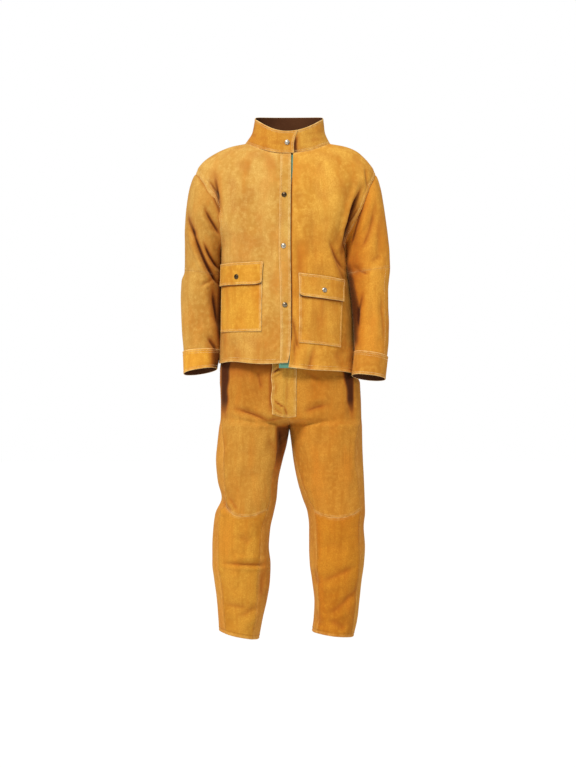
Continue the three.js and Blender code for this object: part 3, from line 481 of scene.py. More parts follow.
# folds in the front view, more and sharper than the solids', in mm: side (-1 is the front and 1 the back),
# x1, z1, x2, z2, half the dent's width, depth, lip (height of the roll beside it as a share of depth)
# and bow (how far the line bends to its right)
folds = {
    "torso": [
        [-1, -214, -75, -200, -205, 11, 7, 0.5, 4],
        [-1, -234, -92, -207, -156, 7, 6, 0.4, 0],
        [-1, -173, -60, -158, -215, 24, 5, 0.3, 0],
        [-1, -138, -130, -120, -330, 28, 3.5, 0.3, 0],
        [-1, -73, -133, -73, -368, 26, 2.5, 0.3, 6],
        [-1, 205, -60, 166, -300, 24, 6, 0.4, 0],
        [-1, 228, -106, 164, -312, 9, 16, 0.6, 0],
        [-1, 233, -55, 241, -122, 5, 6, 0.5, 0],
        [-1, 70, -192, 88, -344, 20, 5, 0.4, 0],
        [-1, 122, -276, 180, -374, 8, 6.5, 0.6, 4],
        [-1, 138, -324, 180, -405, 9, 5, 0.5, 3],
        [-1, 35, -270, 40, -380, 16, 4, 0.4, 0],
        [-1, 92, -470, 104, -600, 22, 5, 0.4, 3],
        [-1, 78, -590, 66, -680, 15, 6, 0.4, 0],
        [-1, 16, -500, 34, -605, 8, 6, 0.5, 0],
        [-1, 24, -570, 20, -655, 7, 4, 0.5, 0],
        [-1, -73, -580, -46, -660, 24, 4, 0.3, 0],
        [-1, 150, -600, 165, -660, 20, 4, 0.3, 0],
        [-1, -160, -560, -150, -640, 26, 3, 0.3, 0],
        [1, -185, -170, -120, -420, 26, 9, 0.4, 8],
        [1, 185, -170, 120, -420, 26, 9, 0.4, -8],
        [1, -60, -420, -80, -650, 30, 7, 0.4, 0],
        [1, 70, -420, 85, -650, 30, 7, 0.4, 0],
        [1, -110, -90, -70, -260, 24, 5, 0.4, 6],
        [1, 120, -90, 80, -260, 24, 5, 0.4, -6],
        [1, -20, -300, 15, -480, 26, 4, 0.3, 0],
    ],
    "sleeveRight": [
        [-1, -284, -226, -199, -407, 9, 16, 0.5, 13],
        [-1, -298, -180, -272, -262, 13, 7, 0.3, 4],
        [-1, -246, -174, -198, -266, 9, 9.5, 0.5, 4],
        [-1, -250, -276, -198, -360, 9, 11, 0.5, 7],
        [-1, -270, -345, -215, -385, 12, -4, 0, 0],
        [-1, -224, -408, -196, -540, 13, 11, 0.3, 0],
        [-1, -258, -414, -220, -389, 6, 3, 0.7, 0],
        [-1, -234, -560, -202, -606, 13, 9, 0.4, 0],
        [-1, -245, -455, -262, -545, 22, 4, 0.4, 0],
        [-1, -290, -420, -285, -560, 24, 3, 0.3, 0],
        [1, -300, -350, -215, -330, 15, 9, 0.5, 6],
        [1, -300, -420, -220, -450, 16, 8, 0.5, -6],
        [1, -295, -290, -220, -270, 16, 7, 0.5, 4],
        [1, -300, -500, -225, -520, 18, 5, 0.4, 0],
    ],
    "sleeveLeft": [
        [-1, 268, -150, 214, -310, 15, 6, 0.4, -6],
        [-1, 241, -130, 184, -300, 9, 8, 0.5, 0],
        [-1, 286, -180, 270, -325, 15, 3.5, 0.4, 4],
        [-1, 214, -255, 190, -345, 18, 4.5, 0.4, 4],
        [-1, 186, -350, 242, -378, 12, 6, 0.5, 3],
        [-1, 186, -372, 208, -545, 14, 13, 0.3, 6],
        [-1, 222, -415, 198, -515, 14, 6, 0.4, -4],
        [-1, 280, -415, 284, -575, 10, 4, 0.5, 0],
        [-1, 245, -345, 282, -322, 16, 4, 0.4, 0],
        [-1, 246, -440, 252, -560, 22, 4, 0.4, 0],
        [1, 300, -350, 215, -330, 15, 9, 0.5, 6],
        [1, 300, -430, 215, -455, 16, 8, 0.5, -6],
        [1, 295, -290, 215, -270, 16, 7, 0.5, 4],
        [1, 298, -520, 220, -535, 18, 5, 0.4, 0],
    ],
    "legRight": [
        [-1, -184, -600, -186, -815, 10, 3, 0.3, 0],
        [-1, -165, -772, -56, -812, 9, 7, 0.6, -3],
        [-1, -56, -812, 2, -800, 8, 8, 0.5, 0],
        [-1, -58, -855, -12, -930, 16, 4, 0.4, 0],
        [-1, -15, -818, -8, -915, 12, 12, 0.2, 0],
        [-1, -208, -1028, -166, -1084, 10, 5.5, 0.9, 3],
        [-1, -176, -1036, -148, -1074, 7, 4, 0.4, 0],
        [-1, -196, -1231, -52, -1238, 7, 5.5, 0.6, 3],
        [-1, -165, -1212, -85, -1218, 10, -5, 0, 0],
        [-1, -74, -1248, -74, -1338, 12, 5, 0.4, 0],
        [-1, -190, -1348, -120, -1366, 16, 4, 0.5, 3],
        [-1, -150, -1398, -85, -1360, 16, 4, 0.5, 3],
        [-1, -92, -650, -72, -720, 12, 6, 0.5, 0],
        [-1, -120, -700, -60, -770, 22, 4, 0.4, 0],
        [-1, -140, -1145, -108, -1172, 18, 4, 0.5, 0],
        [-1, -150, -900, -90, -920, 26, 3, 0.3, 0],
        [-1, -150, -980, -70, -965, 26, 3, 0.3, 0],
        [1, -170, -815, -20, -860, 18, 10, 0.5, 8],
        [1, -180, -860, -40, -895, 16, 7, 0.5, 6],
        [1, -195, -1080, -55, -1095, 15, 11, 0.5, 6],
        [1, -190, -1040, -60, -1035, 14, 7, 0.5, 4],
        [1, -185, -1130, -70, -1140, 16, 6, 0.5, 4],
        [1, -185, -1330, -75, -1360, 16, 9, 0.5, 6],
        [1, -190, -1390, -85, -1400, 14, 6, 0.4, 0],
    ],
    "fly": [
        [-1, -40, -746, -8, -769, 4, 8, 0.5, 2],
        [-1, -9, -766, 1, -794, 4, 7, 0.5, 0],
        [-1, -42, -768, -14, -789, 4, 6, 0.5, 2],
        [-1, -46, -672, -20, -655, 4.5, 10, 0.7, 0],
        [-1, -32, -690, -36, -740, 7, 3, 0.4, 0],
        [-1, 4, -700, 0, -750, 9, 2, 0.4, 0],
    ],
    "legLeft": [
        [-1, 184, -600, 187, -812, 11, 4, 0.3, 0],
        [-1, 128, -762, 48, -786, 12, 6, 0.5, 4],
        [-1, 40, -664, 95, -686, 14, 3.5, 0.4, 0],
        [-1, 88, -1292, 200, -1244, 15, 4.5, 0.5, 4],
        [-1, 118, -1386, 196, -1326, 15, 5, 0.5, 4],
        [-1, 190, -1342, 212, -1305, 12, 3.5, 0.4, 0],
        [-1, 86, -1372, 98, -1425, 12, 3.5, 0.5, 0],
        [-1, 120, -1400, 172, -1432, 16, 5, 0.5, 0],
        [-1, 78, -1250, 88, -1300, 10, 5, 0.4, 0],
        [-1, 66, -866, 130, -886, 22, 3, 0.4, 0],
        [-1, 150, -820, 110, -850, 26, 3, 0.3, 0],
        [-1, 95, -1180, 180, -1195, 26, 3, 0.3, 0],
        [1, 190, -815, 35, -860, 18, 10, 0.5, -8],
        [1, 200, -860, 60, -895, 16, 7, 0.5, -6],
        [1, 210, -1080, 70, -1095, 15, 11, 0.5, -6],
        [1, 205, -1040, 75, -1035, 14, 7, 0.5, -4],
        [1, 205, -1130, 85, -1140, 16, 6, 0.5, -4],
        [1, 195, -1330, 95, -1360, 16, 9, 0.5, -6],
        [1, 200, -1395, 95, -1400, 14, 6, 0.4, 0],
    ],
}


foldLip = {"at": 1.7, "wide": 0.9, "far": 0.5}  # in half widths of the dent, and the other side's share


# how far the folds move the hide out, and how much painted shade each place gets in the creases
def foldField(name, x, z, facing):
    height, crease = np.zeros_like(x), np.zeros_like(x)
    for side, x1, z1, x2, z2, width, depth, lip, bow in folds[name]:
        dx, dz = x2 - x1, z2 - z1
        length = math.hypot(dx, dz)
        along = ((x - x1) * dx + (z - z1) * dz) / length**2
        f = np.clip(along, 0, 1)
        away = (((x - x1) * dz - (z - z1) * dx) / length - bow * 4 * f * (1 - f)) / width
        away = away + 0.14 * np.sin(along * length / 31 + x1)
        weight = np.clip(side * facing * 1.8, 0, 1) * ease(along, -0.1, 0.4) * ease(1 - along, -0.08, 0.22)
        sharp = np.exp(-1.25 * (np.sqrt(away**2 + 0.05) - 0.22))
        height += weight * depth * (lip * hill(away, foldLip["at"], foldLip["wide"]) - sharp)
        height += weight * depth * foldLip["far"] * lip * hill(away, -foldLip["at"], foldLip["wide"])
        # how strongly each fold's painted shade shows
        blotchAndShade = np.clip(depth / 14, 0, 1) * np.clip((24 - width) / 10, 0.3, 1)
        core = away / np.where(away > 0, 0.36, 0.6) / max(1, 5 / width)  # painted shade, dark in the crease and sharper on the side of the roll
        crease += weight * blotchAndShade * (0.92 * hill(core, 0, 1) + 0.36 * hill(away, 0, 1.1))
    return height, crease


def bodyRing(ring, angle):  # angle 0 is the left side, 90 degrees the back and 270 the front
    across, along = bent(np.cos(angle), ring["square"]), bent(np.sin(angle), ring["square"])
    tip = np.where(along < 0, -ring["frontDrop"], ring["backRise"])
    return np.stack([
        across * np.where(across < 0, ring["right"], ring["left"]),
        along * np.where(along < 0, ring["front"], ring["back"]),
        ring["z"] + tip * along**2,
    ], -1)


def broadSide(facing):  # 1 in front and behind, and 0 at the sides where panels meet
    return np.clip(np.abs(facing) * 1.6, 0, 1)


def torso(angle, row, wantShadeAndBlotch=False):
    place = bodyRing(readRow(torsoRings, row), angle)
    facing = np.sin(angle)
    height, crease = foldField("torso", place[..., 0], place[..., 2], facing)
    if wantShadeAndBlotch:
        # painted shade of the folds, with random darker blotches
        return crease + 0.11 * np.clip(waver(place * (1, 1, 0.45), 6, 38), 0, 2)
    height = height + broadSide(facing) * (1.3 * waver(place, 3, 95) + 0.45 * waver(place, 4, 34))
    return place + np.stack([np.cos(angle), facing, 0 * angle], -1) * height[..., None]


collarLap = {"from": -98, "to": 283, "clear": 2.6, "backStand": 16}  # degrees round the neck, and mm


def collarWall(angle, row, wantShadeAndBlotch=False):
    place = bodyRing(readRow(collarRings, row), angle)
    behind = np.maximum(np.sin(angle), 0)
    place[..., 2] += collarLap["backStand"] * (behind**0.4 - behind**2) * (row / 2) ** 1.5  # level across the nape
    if wantShadeAndBlotch:
        return 0.15 * np.clip(waver(place * (1, 1, 1.4), 9, 30), 0, 2)
    turns = (angle / degree - collarLap["from"]) / (collarLap["to"] - collarLap["from"])
    out = collarLap["clear"] * turns + 0.5 * waver(place, 8, 60) * np.sin(np.pi * np.clip(row / 2, 0, 1))
    return place + np.stack([np.cos(angle), np.sin(angle), 0 * angle], -1) * out[..., None]


def limbRing(ring, angle):  # angle 0 is the outer side, 90 degrees the front, 180 the inner side and 270 the back
    across, along = bent(np.cos(angle), ring["square"]), bent(np.sin(angle), ring["square"])
    share = (across + 1) / 2
    return np.stack([
        mix(ring["innerX"], ring["outerX"], share),
        ring["y"] - along * np.where(along > 0, ring["front"], ring["back"]),
        mix(ring["innerZ"], ring["outerZ"], share) + ring.get("lift", 0) * along,
    ], -1)


def limbOut(place, ring):
    middle = np.stack([
        (ring["outerX"] + ring["innerX"]) / 2, ring["y"] + 0 * ring["outerX"], (ring["outerZ"] + ring["innerZ"]) / 2
    ], -1)
    way = place - middle
    return way / np.linalg.norm(way, axis=-1)[..., None]


def sleeveSurface(sleeve, name, seed):
    def surface(angle, row, wantShadeAndBlotch=False):
        ring = readRow(sleeve["rings"], row)
        place = limbRing(ring, angle)
        height, crease = foldField(name, place[..., 0], place[..., 2], -np.sin(angle))
        if wantShadeAndBlotch:
            dark = 0.88 * ease(-np.cos(angle), sleeve["shaded"], 0.98) * ease(row, 0.6, 2.0)  # painted shade on the side beside the body
            dark *= 1 - 0.5 * ease(row, sleeve["elbow"], sleeve["elbow"] + 2)
            # painted shade in the crook of the elbow, on the side towards the body
            elbowShade = sleeve["elbowShade"] * hill(place[..., 2], -365, 55) * ease(-place[..., 0], -248, -200)
            return np.maximum.reduce([crease, dark, elbowShade])
        uneven = 0.9 * waver(place, seed, 70) + 0.4 * waver(place, seed + 1, 28)
        height = height + broadSide(np.sin(angle)) * uneven
        return place + limbOut(place, ring) * height[..., None]
    return surface


# above the crotch a leg's ring opens into a half of the hips, and the back runs on past a full turn
def legSurface(leg, name, seed, isBack):
    def surface(angle, row, wantShadeAndBlotch=False):
        ring = readRow(leg["rings"], row)
        behind = isBack & (angle <= 2 * np.pi)
        half = np.where(behind, 2 * np.pi - angle, np.mod(angle, 2 * np.pi)) / 2
        hip = np.stack([
            mix(ring["innerX"], ring["outerX"], bent(np.cos(half), ring["square"])),
            ring["y"] + np.where(behind, ring["back"], -ring["front"]) * bent(np.sin(half), ring["square"]),
            ring["outerZ"],
        ], -1)
        place = mix(limbRing(ring, angle), hip, ring["open"][..., None])
        height, crease = foldField(name, place[..., 0], place[..., 2], -np.sin(angle))
        if wantShadeAndBlotch:
            # painted shade of the folds
            return crease
        uneven = 1.2 * waver(place, seed, 85) + 0.45 * waver(place, seed + 1, 30)
        height = height + broadSide(np.sin(angle)) * uneven
        return place + limbOut(place, ring) * height[..., None]
    return surface


def outward(surface, angle, row, lastRow, facing):
    step = 0.01
    across = surface(angle + step, row) - surface(angle - step, row)
    up = surface(angle, np.minimum(row + step, lastRow)) - surface(angle, np.maximum(row - step, 0))
    way = np.cross(across, up) * facing
    return way / np.linalg.norm(way, axis=-1)[..., None]


def edgeSteps(length, step):  # shares along a panel, close together beside its edges
    near = np.array([0, 0.8, 2.0, 3.6, sewnAt, 8.0])
    count = max(2, round((length - 2 * near[-1]) / step))
    middle = np.linspace(near[-1], length - near[-1], count + 1)[1:-1]
    return np.concatenate([near, middle, length - near[::-1]]) / length


roundEdge = {"in": 0.22, "out": 0.3}  # shares of the wall's thickness


def gridQuads(index, flip):
    quads = np.stack([index[:-1, :-1], index[:-1, 1:], index[1:, 1:], index[1:, :-1]], -1).reshape(-1, 4)
    return quads[:, ::-1] if flip else quads


# a wall of hide over a grid of its surface, with rounded edges and a rolled, rubbed border where it is sewn or cut
def makeWall(name, panel):
    s, t = np.meshgrid(panel["across"], panel["up"])
    surface, facing = panel["surface"], panel.get("facing", 1)
    angle, row = panel["place"](s, t)
    base = surface(angle, row)
    normal = outward(surface, angle, row, panel["lastRow"], facing)
    stepAcross = np.linalg.norm(np.diff(base, axis=1), axis=-1)
    stepUp = np.linalg.norm(np.diff(base, axis=0), axis=-1)
    fromLeft = np.concatenate([np.zeros((len(t), 1)), np.cumsum(stepAcross, 1)], 1)
    fromBottom = np.concatenate([np.zeros((1, s.shape[1])), np.cumsum(stepUp, 0)], 0)
    away = {
        "left": fromLeft, "right": fromLeft[:, -1:] - fromLeft,
        "bottom": fromBottom, "top": fromBottom[-1:] - fromBottom,
    }
    roll, rub = np.zeros_like(s), np.zeros_like(s)
    for border, amount in panel.get("borders", {}).items():
        d = away[border]
        roll += amount * (0.7 * hill(d, 2.4, 2.2) - 0.45 * hill(d, sewnAt, 1.7))
        rub = np.maximum(rub, amount * (0.75 * hill(d, 0, 1.8) + 0.25 * hill(d, sewnAt, 1.6)))
    # painted shade for the hide's colour, with random darker blotches on the body and collar
    crease = surface(angle, row, True)
    if "shade" in panel:
        crease = np.maximum(crease, panel["shade"](base, s, t))
    tan = panel["tan"](base) if "tan" in panel else 0 * s
    if "beside" in panel:
        moreRoll, moreRub = panel["beside"](base)
        roll, rub = roll + moreRoll, np.maximum(rub, moreRub)
    lift = panel.get("lift", 0.0)
    lift = lift(s, t) if callable(lift) else lift + 0 * s
    thick = panel.get("thick", leather)
    outer = base + normal * (lift + roll)[..., None]
    inner = base + normal * (lift - thick)[..., None]
    rows, wide = s.shape
    index = np.arange(rows * wide).reshape(rows, wide)
    if panel.get("closed"):
        index[:, -1] = index[:, 0]
    quads = gridQuads(index, facing < 0)
    if "keep" in panel:
        kept = panel["keep"](base)
        quads = quads[kept.ravel()[quads].all(1)]
    count = rows * wide
    edges = np.concatenate([quads[:, [k, (k + 1) % 4]] for k in range(4)])
    ordered = np.sort(edges, 1)
    first, seenTimes = np.unique(ordered, axis=0, return_index=True, return_counts=True)[1:]
    rim = edges[first[seenTimes == 1]]  # edges of one face only
    flatOuter, flatInner, flatNormal = outer.reshape(-1, 3), inner.reshape(-1, 3), normal.reshape(-1, 3)
    push = np.zeros_like(flatOuter)  # outwards past the rim
    for u, v in rim:
        way = np.cross(flatOuter[v] - flatOuter[u], flatNormal[u])
        way /= max(np.linalg.norm(way), 1e-9)
        push[u] += way
        push[v] += way
    rimPoints = np.unique(rim)
    push /= np.maximum(np.linalg.norm(push, axis=1), 1e-9)[:, None]
    flatOuter[rimPoints] -= flatNormal[rimPoints] * roundEdge["in"] * thick
    flatInner[rimPoints] += flatNormal[rimPoints] * roundEdge["in"] * thick
    middle = (flatOuter[rimPoints] + flatInner[rimPoints]) / 2 + push[rimPoints] * roundEdge["out"] * thick
    place = np.full(count, -1)  # where each rim point's middle one is
    place[rimPoints] = 2 * count + np.arange(len(rimPoints))
    a, b = rim[:, 0], rim[:, 1]
    rimOuter = np.stack([b, a, place[a], place[b]], 1)
    rimInner = np.stack([place[b], place[a], a + count, b + count], 1)
    faces = np.concatenate([quads, quads[:, ::-1] + count, rimOuter, rimInner])
    points = np.concatenate([flatOuter, flatInner, middle]) * mm
    used = np.unique(faces)
    renumber = np.full(len(points), -1)
    renumber[used] = np.arange(len(used))
    mesh = bpy.data.meshes.new(name)
    mesh.from_pydata(points[used].tolist(), [], renumber[faces].tolist())
    for material in panel.get("materials") or (suede[panel["hide"]], inside, panel.get("edge", cutEdge)):
        mesh.materials.append(material)
    kinds = np.concatenate([np.zeros(len(quads)), np.ones(len(quads)), np.full(2 * len(rim), 2)]).astype(np.int32)
    mesh.polygons.foreach_set("material_index", kinds)
    mesh.polygons.foreach_set("use_smooth", np.ones(len(faces), bool))
    for label, values in (("rub", np.clip(rub, 0, 1)), ("crease", np.clip(crease, 0, 0.92)), ("tan", tan)):
        spread = np.concatenate([values.ravel(), np.zeros(count), values.ravel()[rimPoints]])[used]
        mesh.attributes.new(label, "FLOAT", "POINT").data.foreach_set("value", spread.astype(np.float32))
    made = bpy.data.objects.new(name, mesh)
    scene.collection.objects.link(made)
    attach(made, "root")
    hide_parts(panel["node"])
    return {"outer": outer, "normal": normal, "away": away}


stitchRuns = {"jacket": [], "trousers": [], "kneesAndFly": []}
threadUp = {"panel": 0.25, "limb": 0.3}  # mm above the hide


# a row of stitches a set distance inside one border of a panel
def stitchBeside(garment, wall, border, inset, start=0.0, end=1.0):
    outer, normal, d = wall["outer"], wall["normal"], wall["away"][border]
    if border in ("bottom", "top"):
        outer, normal, d = outer.transpose(1, 0, 2), normal.transpose(1, 0, 2), d.T
    run = []
    for line in range(round(start * (len(d) - 1)), round(end * (len(d) - 1)) + 1):
        order = np.argsort(d[line])
        at = np.interp(inset, d[line][order], np.arange(len(order))[order])
        i = min(int(at), len(order) - 2)
        point = mix(outer[line, i], outer[line, i + 1], at - i)
        run.append(point + threadUp["panel"] * mix(normal[line, i], normal[line, i + 1], at - i))
    stitchRuns[garment].append(np.array(run))


def stitchAlong(garment, surface, lastRow, facing, angle, low, high):  # a seam's stitches along a line of a limb
    row = np.linspace(low, high, 60)
    angle = np.full_like(row, angle * degree)
    run = surface(angle, row) + threadUp["limb"] * outward(surface, angle, row, lastRow, facing)
    stitchRuns[garment].append(run)


torsoTop = torsoRings["last"]


def torsoRowAt(z):
    return rowWhere(torsoRings, "z", z)


def frontAngle(x, row):
    ring = readRow(torsoRings, row)
    share = np.minimum(np.abs(x) / np.where(x < 0, ring["right"], ring["left"]), 0.9999)
    turn = np.arccos(share ** (ring["square"] / 2))
    return np.where(x < 0, np.pi + turn, 2 * np.pi - turn)


def frontEdgeAngle(side, row, inset=0.0):
    ring = readRow(torsoRings, row)
    x = readRow(frontEdges, rowWhere(frontEdges, "z", ring["z"] - ring["frontDrop"]))[side]
    return frontAngle(x + inset, row)


def evenRows(surface, angle, low, high, t):  # rows evenly spaced along the surface up one line
    dense = np.linspace(low, high, 400)
    points = surface(np.full_like(dense, angle), dense)
    far = np.concatenate([[0], np.cumsum(np.linalg.norm(np.diff(points, axis=0), axis=1))])
    return (np.interp(t * far[-1], far, dense) - low) / (high - low)


def treeOf(grid, flip=False):
    index = np.arange(grid.shape[0] * grid.shape[1]).reshape(grid.shape[:2])
    return BVHTree.FromPolygons(grid.reshape(-1, 3).tolist(), gridQuads(index, flip).tolist())


bodyAngle, bodyRow = np.meshgrid(np.linspace(0, 2 * np.pi, 260), np.linspace(0, torsoTop, 170))
bodyTree = treeOf(torso(bodyAngle, bodyRow))
sleeveGrid = {"columns": 116, "step": 3.8, "aboveElbow": 0.6, "tuck": 0.09}  # the last two in rows


# sleeves end where they meet the body: each column is followed down until it comes out
def armholeRows(surface, sleeve):
    columns = np.linspace(0, 2 * np.pi, sleeveGrid["columns"] + 1)
    rows = np.linspace(sleeve["elbow"] + sleeveGrid["aboveElbow"], sleeve["rings"]["last"], 260)
    angle, row = np.meshgrid(columns, rows)
    points = surface(angle, row)
    found = []
    for i in range(len(columns)):
        hitRow = rows[-1]
        for j in range(len(rows) - 2, -1, -1):
            start, end = Vector(points[j, i]), Vector(points[j + 1, i])
            hit = bodyTree.ray_cast(start, (end - start).normalized(), (end - start).length)
            if hit[0] is not None:
                hitRow = mix(rows[j], rows[j + 1], hit[3] / (end - start).length)
                break
        found.append(hitRow)
    found = np.array(found[:-1])
    found = (np.roll(found, 1) + 2 * found + np.roll(found, -1)) / 4 + sleeveGrid["tuck"]
    found = np.minimum(found, rows[-1])
    return np.append(found, found[0])


sleeveShapes = {}
for side, sleeve, seed in (("Right", sleeveRight, 21), ("Left", sleeveLeft, 31)):
    surface = sleeveSurface(sleeve, "sleeve" + side, seed)
    topRows = armholeRows(surface, sleeve)
    columnAngles = np.linspace(0, 2 * np.pi, len(topRows))
    rim = surface(columnAngles, topRows)
    tubeAngle, tubeRow = np.meshgrid(columnAngles, np.linspace(sleeve["elbow"], sleeve["rings"]["last"], 90))
    tube = treeOf(surface(tubeAngle, tubeRow), sleeve["facing"] < 0)
    spots = np.minimum(np.arange(8 * len(rim)) / 8, len(rim) - 1.001)  # eight to a column
    closeRim = KDTree(len(spots))
    for k, at in enumerate(spots):
        closeRim.insert(Vector(mix(rim[int(at)], rim[int(at) + 1], at - int(at))), k)
    closeRim.balance()
    sleeveShapes[side] = {
        "sleeve": sleeve, "surface": surface, "topRows": topRows, "rim": rim, "tube": tube, "closeRim": closeRim,
    }
print("armholes found")


shoulder = {"low": -330, "high": -50, "aside": 150, "open": 7}  # mm, where a sleeve can meet the body


def besideSleeve(points, margin):  # each point near a shoulder, and the sleeve on its side
    low, high, aside = shoulder["low"] - margin, shoulder["high"] + margin, shoulder["aside"] - margin
    for i, point in enumerate(points.reshape(-1, 3)):
        if low < point[2] < high and abs(point[0]) > aside:
            yield i, Vector(point), sleeveShapes["Right" if point[0] < 0 else "Left"]


def clearOfSleeves(points):  # the body is open inside a sleeve
    kept = np.ones(points.shape[:2], bool)
    for i, point, shape in besideSleeve(points, 0):
        near, way, _, far = shape["tube"].find_nearest(point)
        kept.flat[i] = not (far > shoulder["open"] and (point - near).dot(way) < 0)
    return kept


def farFromArmhole(points):
    far = np.full(points.shape[:2], 99.0)
    for i, point, shape in besideSleeve(points, 10):
        far.flat[i] = shape["closeRim"].find(point)[2]
    return far


def besideArmhole(points):  # the lapped seam stands up a little round each armhole
    far = farFromArmhole(points)
    welt = 1.6 * hill(far, 4.5, 4.5) - 0.9 * hill(far, 11.5, 2.4)
    rubbed = 0.42 * hill(far, 2.5, 2.4) + 0.25 * hill(far, 11.5, 2.0)
    return welt, rubbed * np.where(points[..., 0] < 0, 0.15 + 0.4 * ease(points[..., 2], -200, -150), 0.6)


# jacket body: back and two fronts
hem = {"rightSide": -637, "rightFront": -641, "leftFront": -654, "leftSide": -675}
seam = 0.16 * degree  # half the gap between sewn panels
bodyUp = edgeSteps(760, 3.7)
backShare = evenRows(torso, 0.5 * np.pi, 1.0, torsoTop, bodyUp)
frontShare = evenRows(torso, 1.4 * np.pi, 1.0, torsoTop, bodyUp)
bodyWall = {
    "surface": torso, "lastRow": torsoTop, "up": bodyUp, "keep": clearOfSleeves, "beside": besideArmhole,
    "slot": "jacket_leather",
}


def wavyHem(s, t, seed):  # a cut hem is never quite straight
    return 2.2 * np.sin(9 * s + seed) * (1 - t) ** 6 / 60


def bodyRows(s, t, start, end, share, seed):  # rows of a body panel above its own stretch of hem
    bottom = torsoRowAt(mix(hem[start], hem[end], s))
    return mix(bottom, torsoTop, np.interp(t, bodyUp, share)) + wavyHem(s, t, seed)


def placeBack(s, t):
    return mix(seam, np.pi - seam, s), bodyRows(s, t, "leftSide", "rightSide", backShare, 1)


def placeFrontRight(s, t):
    row = bodyRows(s, t, "rightSide", "rightFront", frontShare, 4)
    return mix(np.pi + seam, frontEdgeAngle("right", row), s), row


def placeFrontLeft(s, t):
    row = bodyRows(s, t, "leftFront", "leftSide", frontShare, 2.5)
    return mix(frontEdgeAngle("left", row), 2 * np.pi - seam, s), row


jacketBack = makeWall("jacketBack", {
    **bodyWall, "across": edgeSteps(600, 8.0), "place": placeBack, "node": "jacket_back",
    "borders": {"left": 0.7, "right": 0.7, "bottom": 1.0, "top": 0.6},
    "hide": "back", "sewnTo": ["collar", "jacket_front_right", "jacket_front_left"],
})


def pastPlacket(points):  # mm beyond the right front's edge
    row = rowWhere(frontEdges, "z", points[..., 2])
    return np.maximum(points[..., 0] - readRow(frontEdges, row)["right"], 0)


jacketFrontRight = makeWall("jacketFrontRight", {
    **bodyWall, "across": edgeSteps(310, 3.4), "place": placeFrontRight, "node": "jacket_front_right",
    "borders": {"left": 0.5, "right": 1.0, "bottom": 1.0, "top": 0.7},
    "tan": lambda p: 0.55 * ease(-p[..., 2], 430, 580),
    "hide": "frontRight", "sewnTo": ["collar", "jacket_back"],
})
jacketFrontLeft = makeWall("jacketFrontLeft", {
    **bodyWall, "across": edgeSteps(310, 3.4), "place": placeFrontLeft, "node": "jacket_front_left",
    "borders": {"right": 0.5, "bottom": 1.0, "top": 0.7},
    "shade": lambda p, s, t: np.maximum(
        0.95 * np.exp(-((pastPlacket(p) / 6.6) ** 4)) * ease(p[..., 2], -600, -560),
        0.85 * hill(farFromArmhole(p), 17, 5.5) * ease(-p[..., 2], 130, 220),
    ),
    "tan": lambda p: 0.68 * ease(-p[..., 2], 190, 340) - 0.25 * ease(-p[..., 2], 420, 580),
    "hide": "frontLeft", "sewnTo": ["collar", "jacket_back"],
})
for wall in (jacketBack, jacketFrontRight, jacketFrontLeft):
    stitchBeside("jacket", wall, "bottom", 12)
for border in ("left", "right"):
    for low, high in ((0, 0.45), (0.82, 1)):
        stitchBeside("jacket", jacketBack, border, sewnAt, low, high)
print("jacket body made")

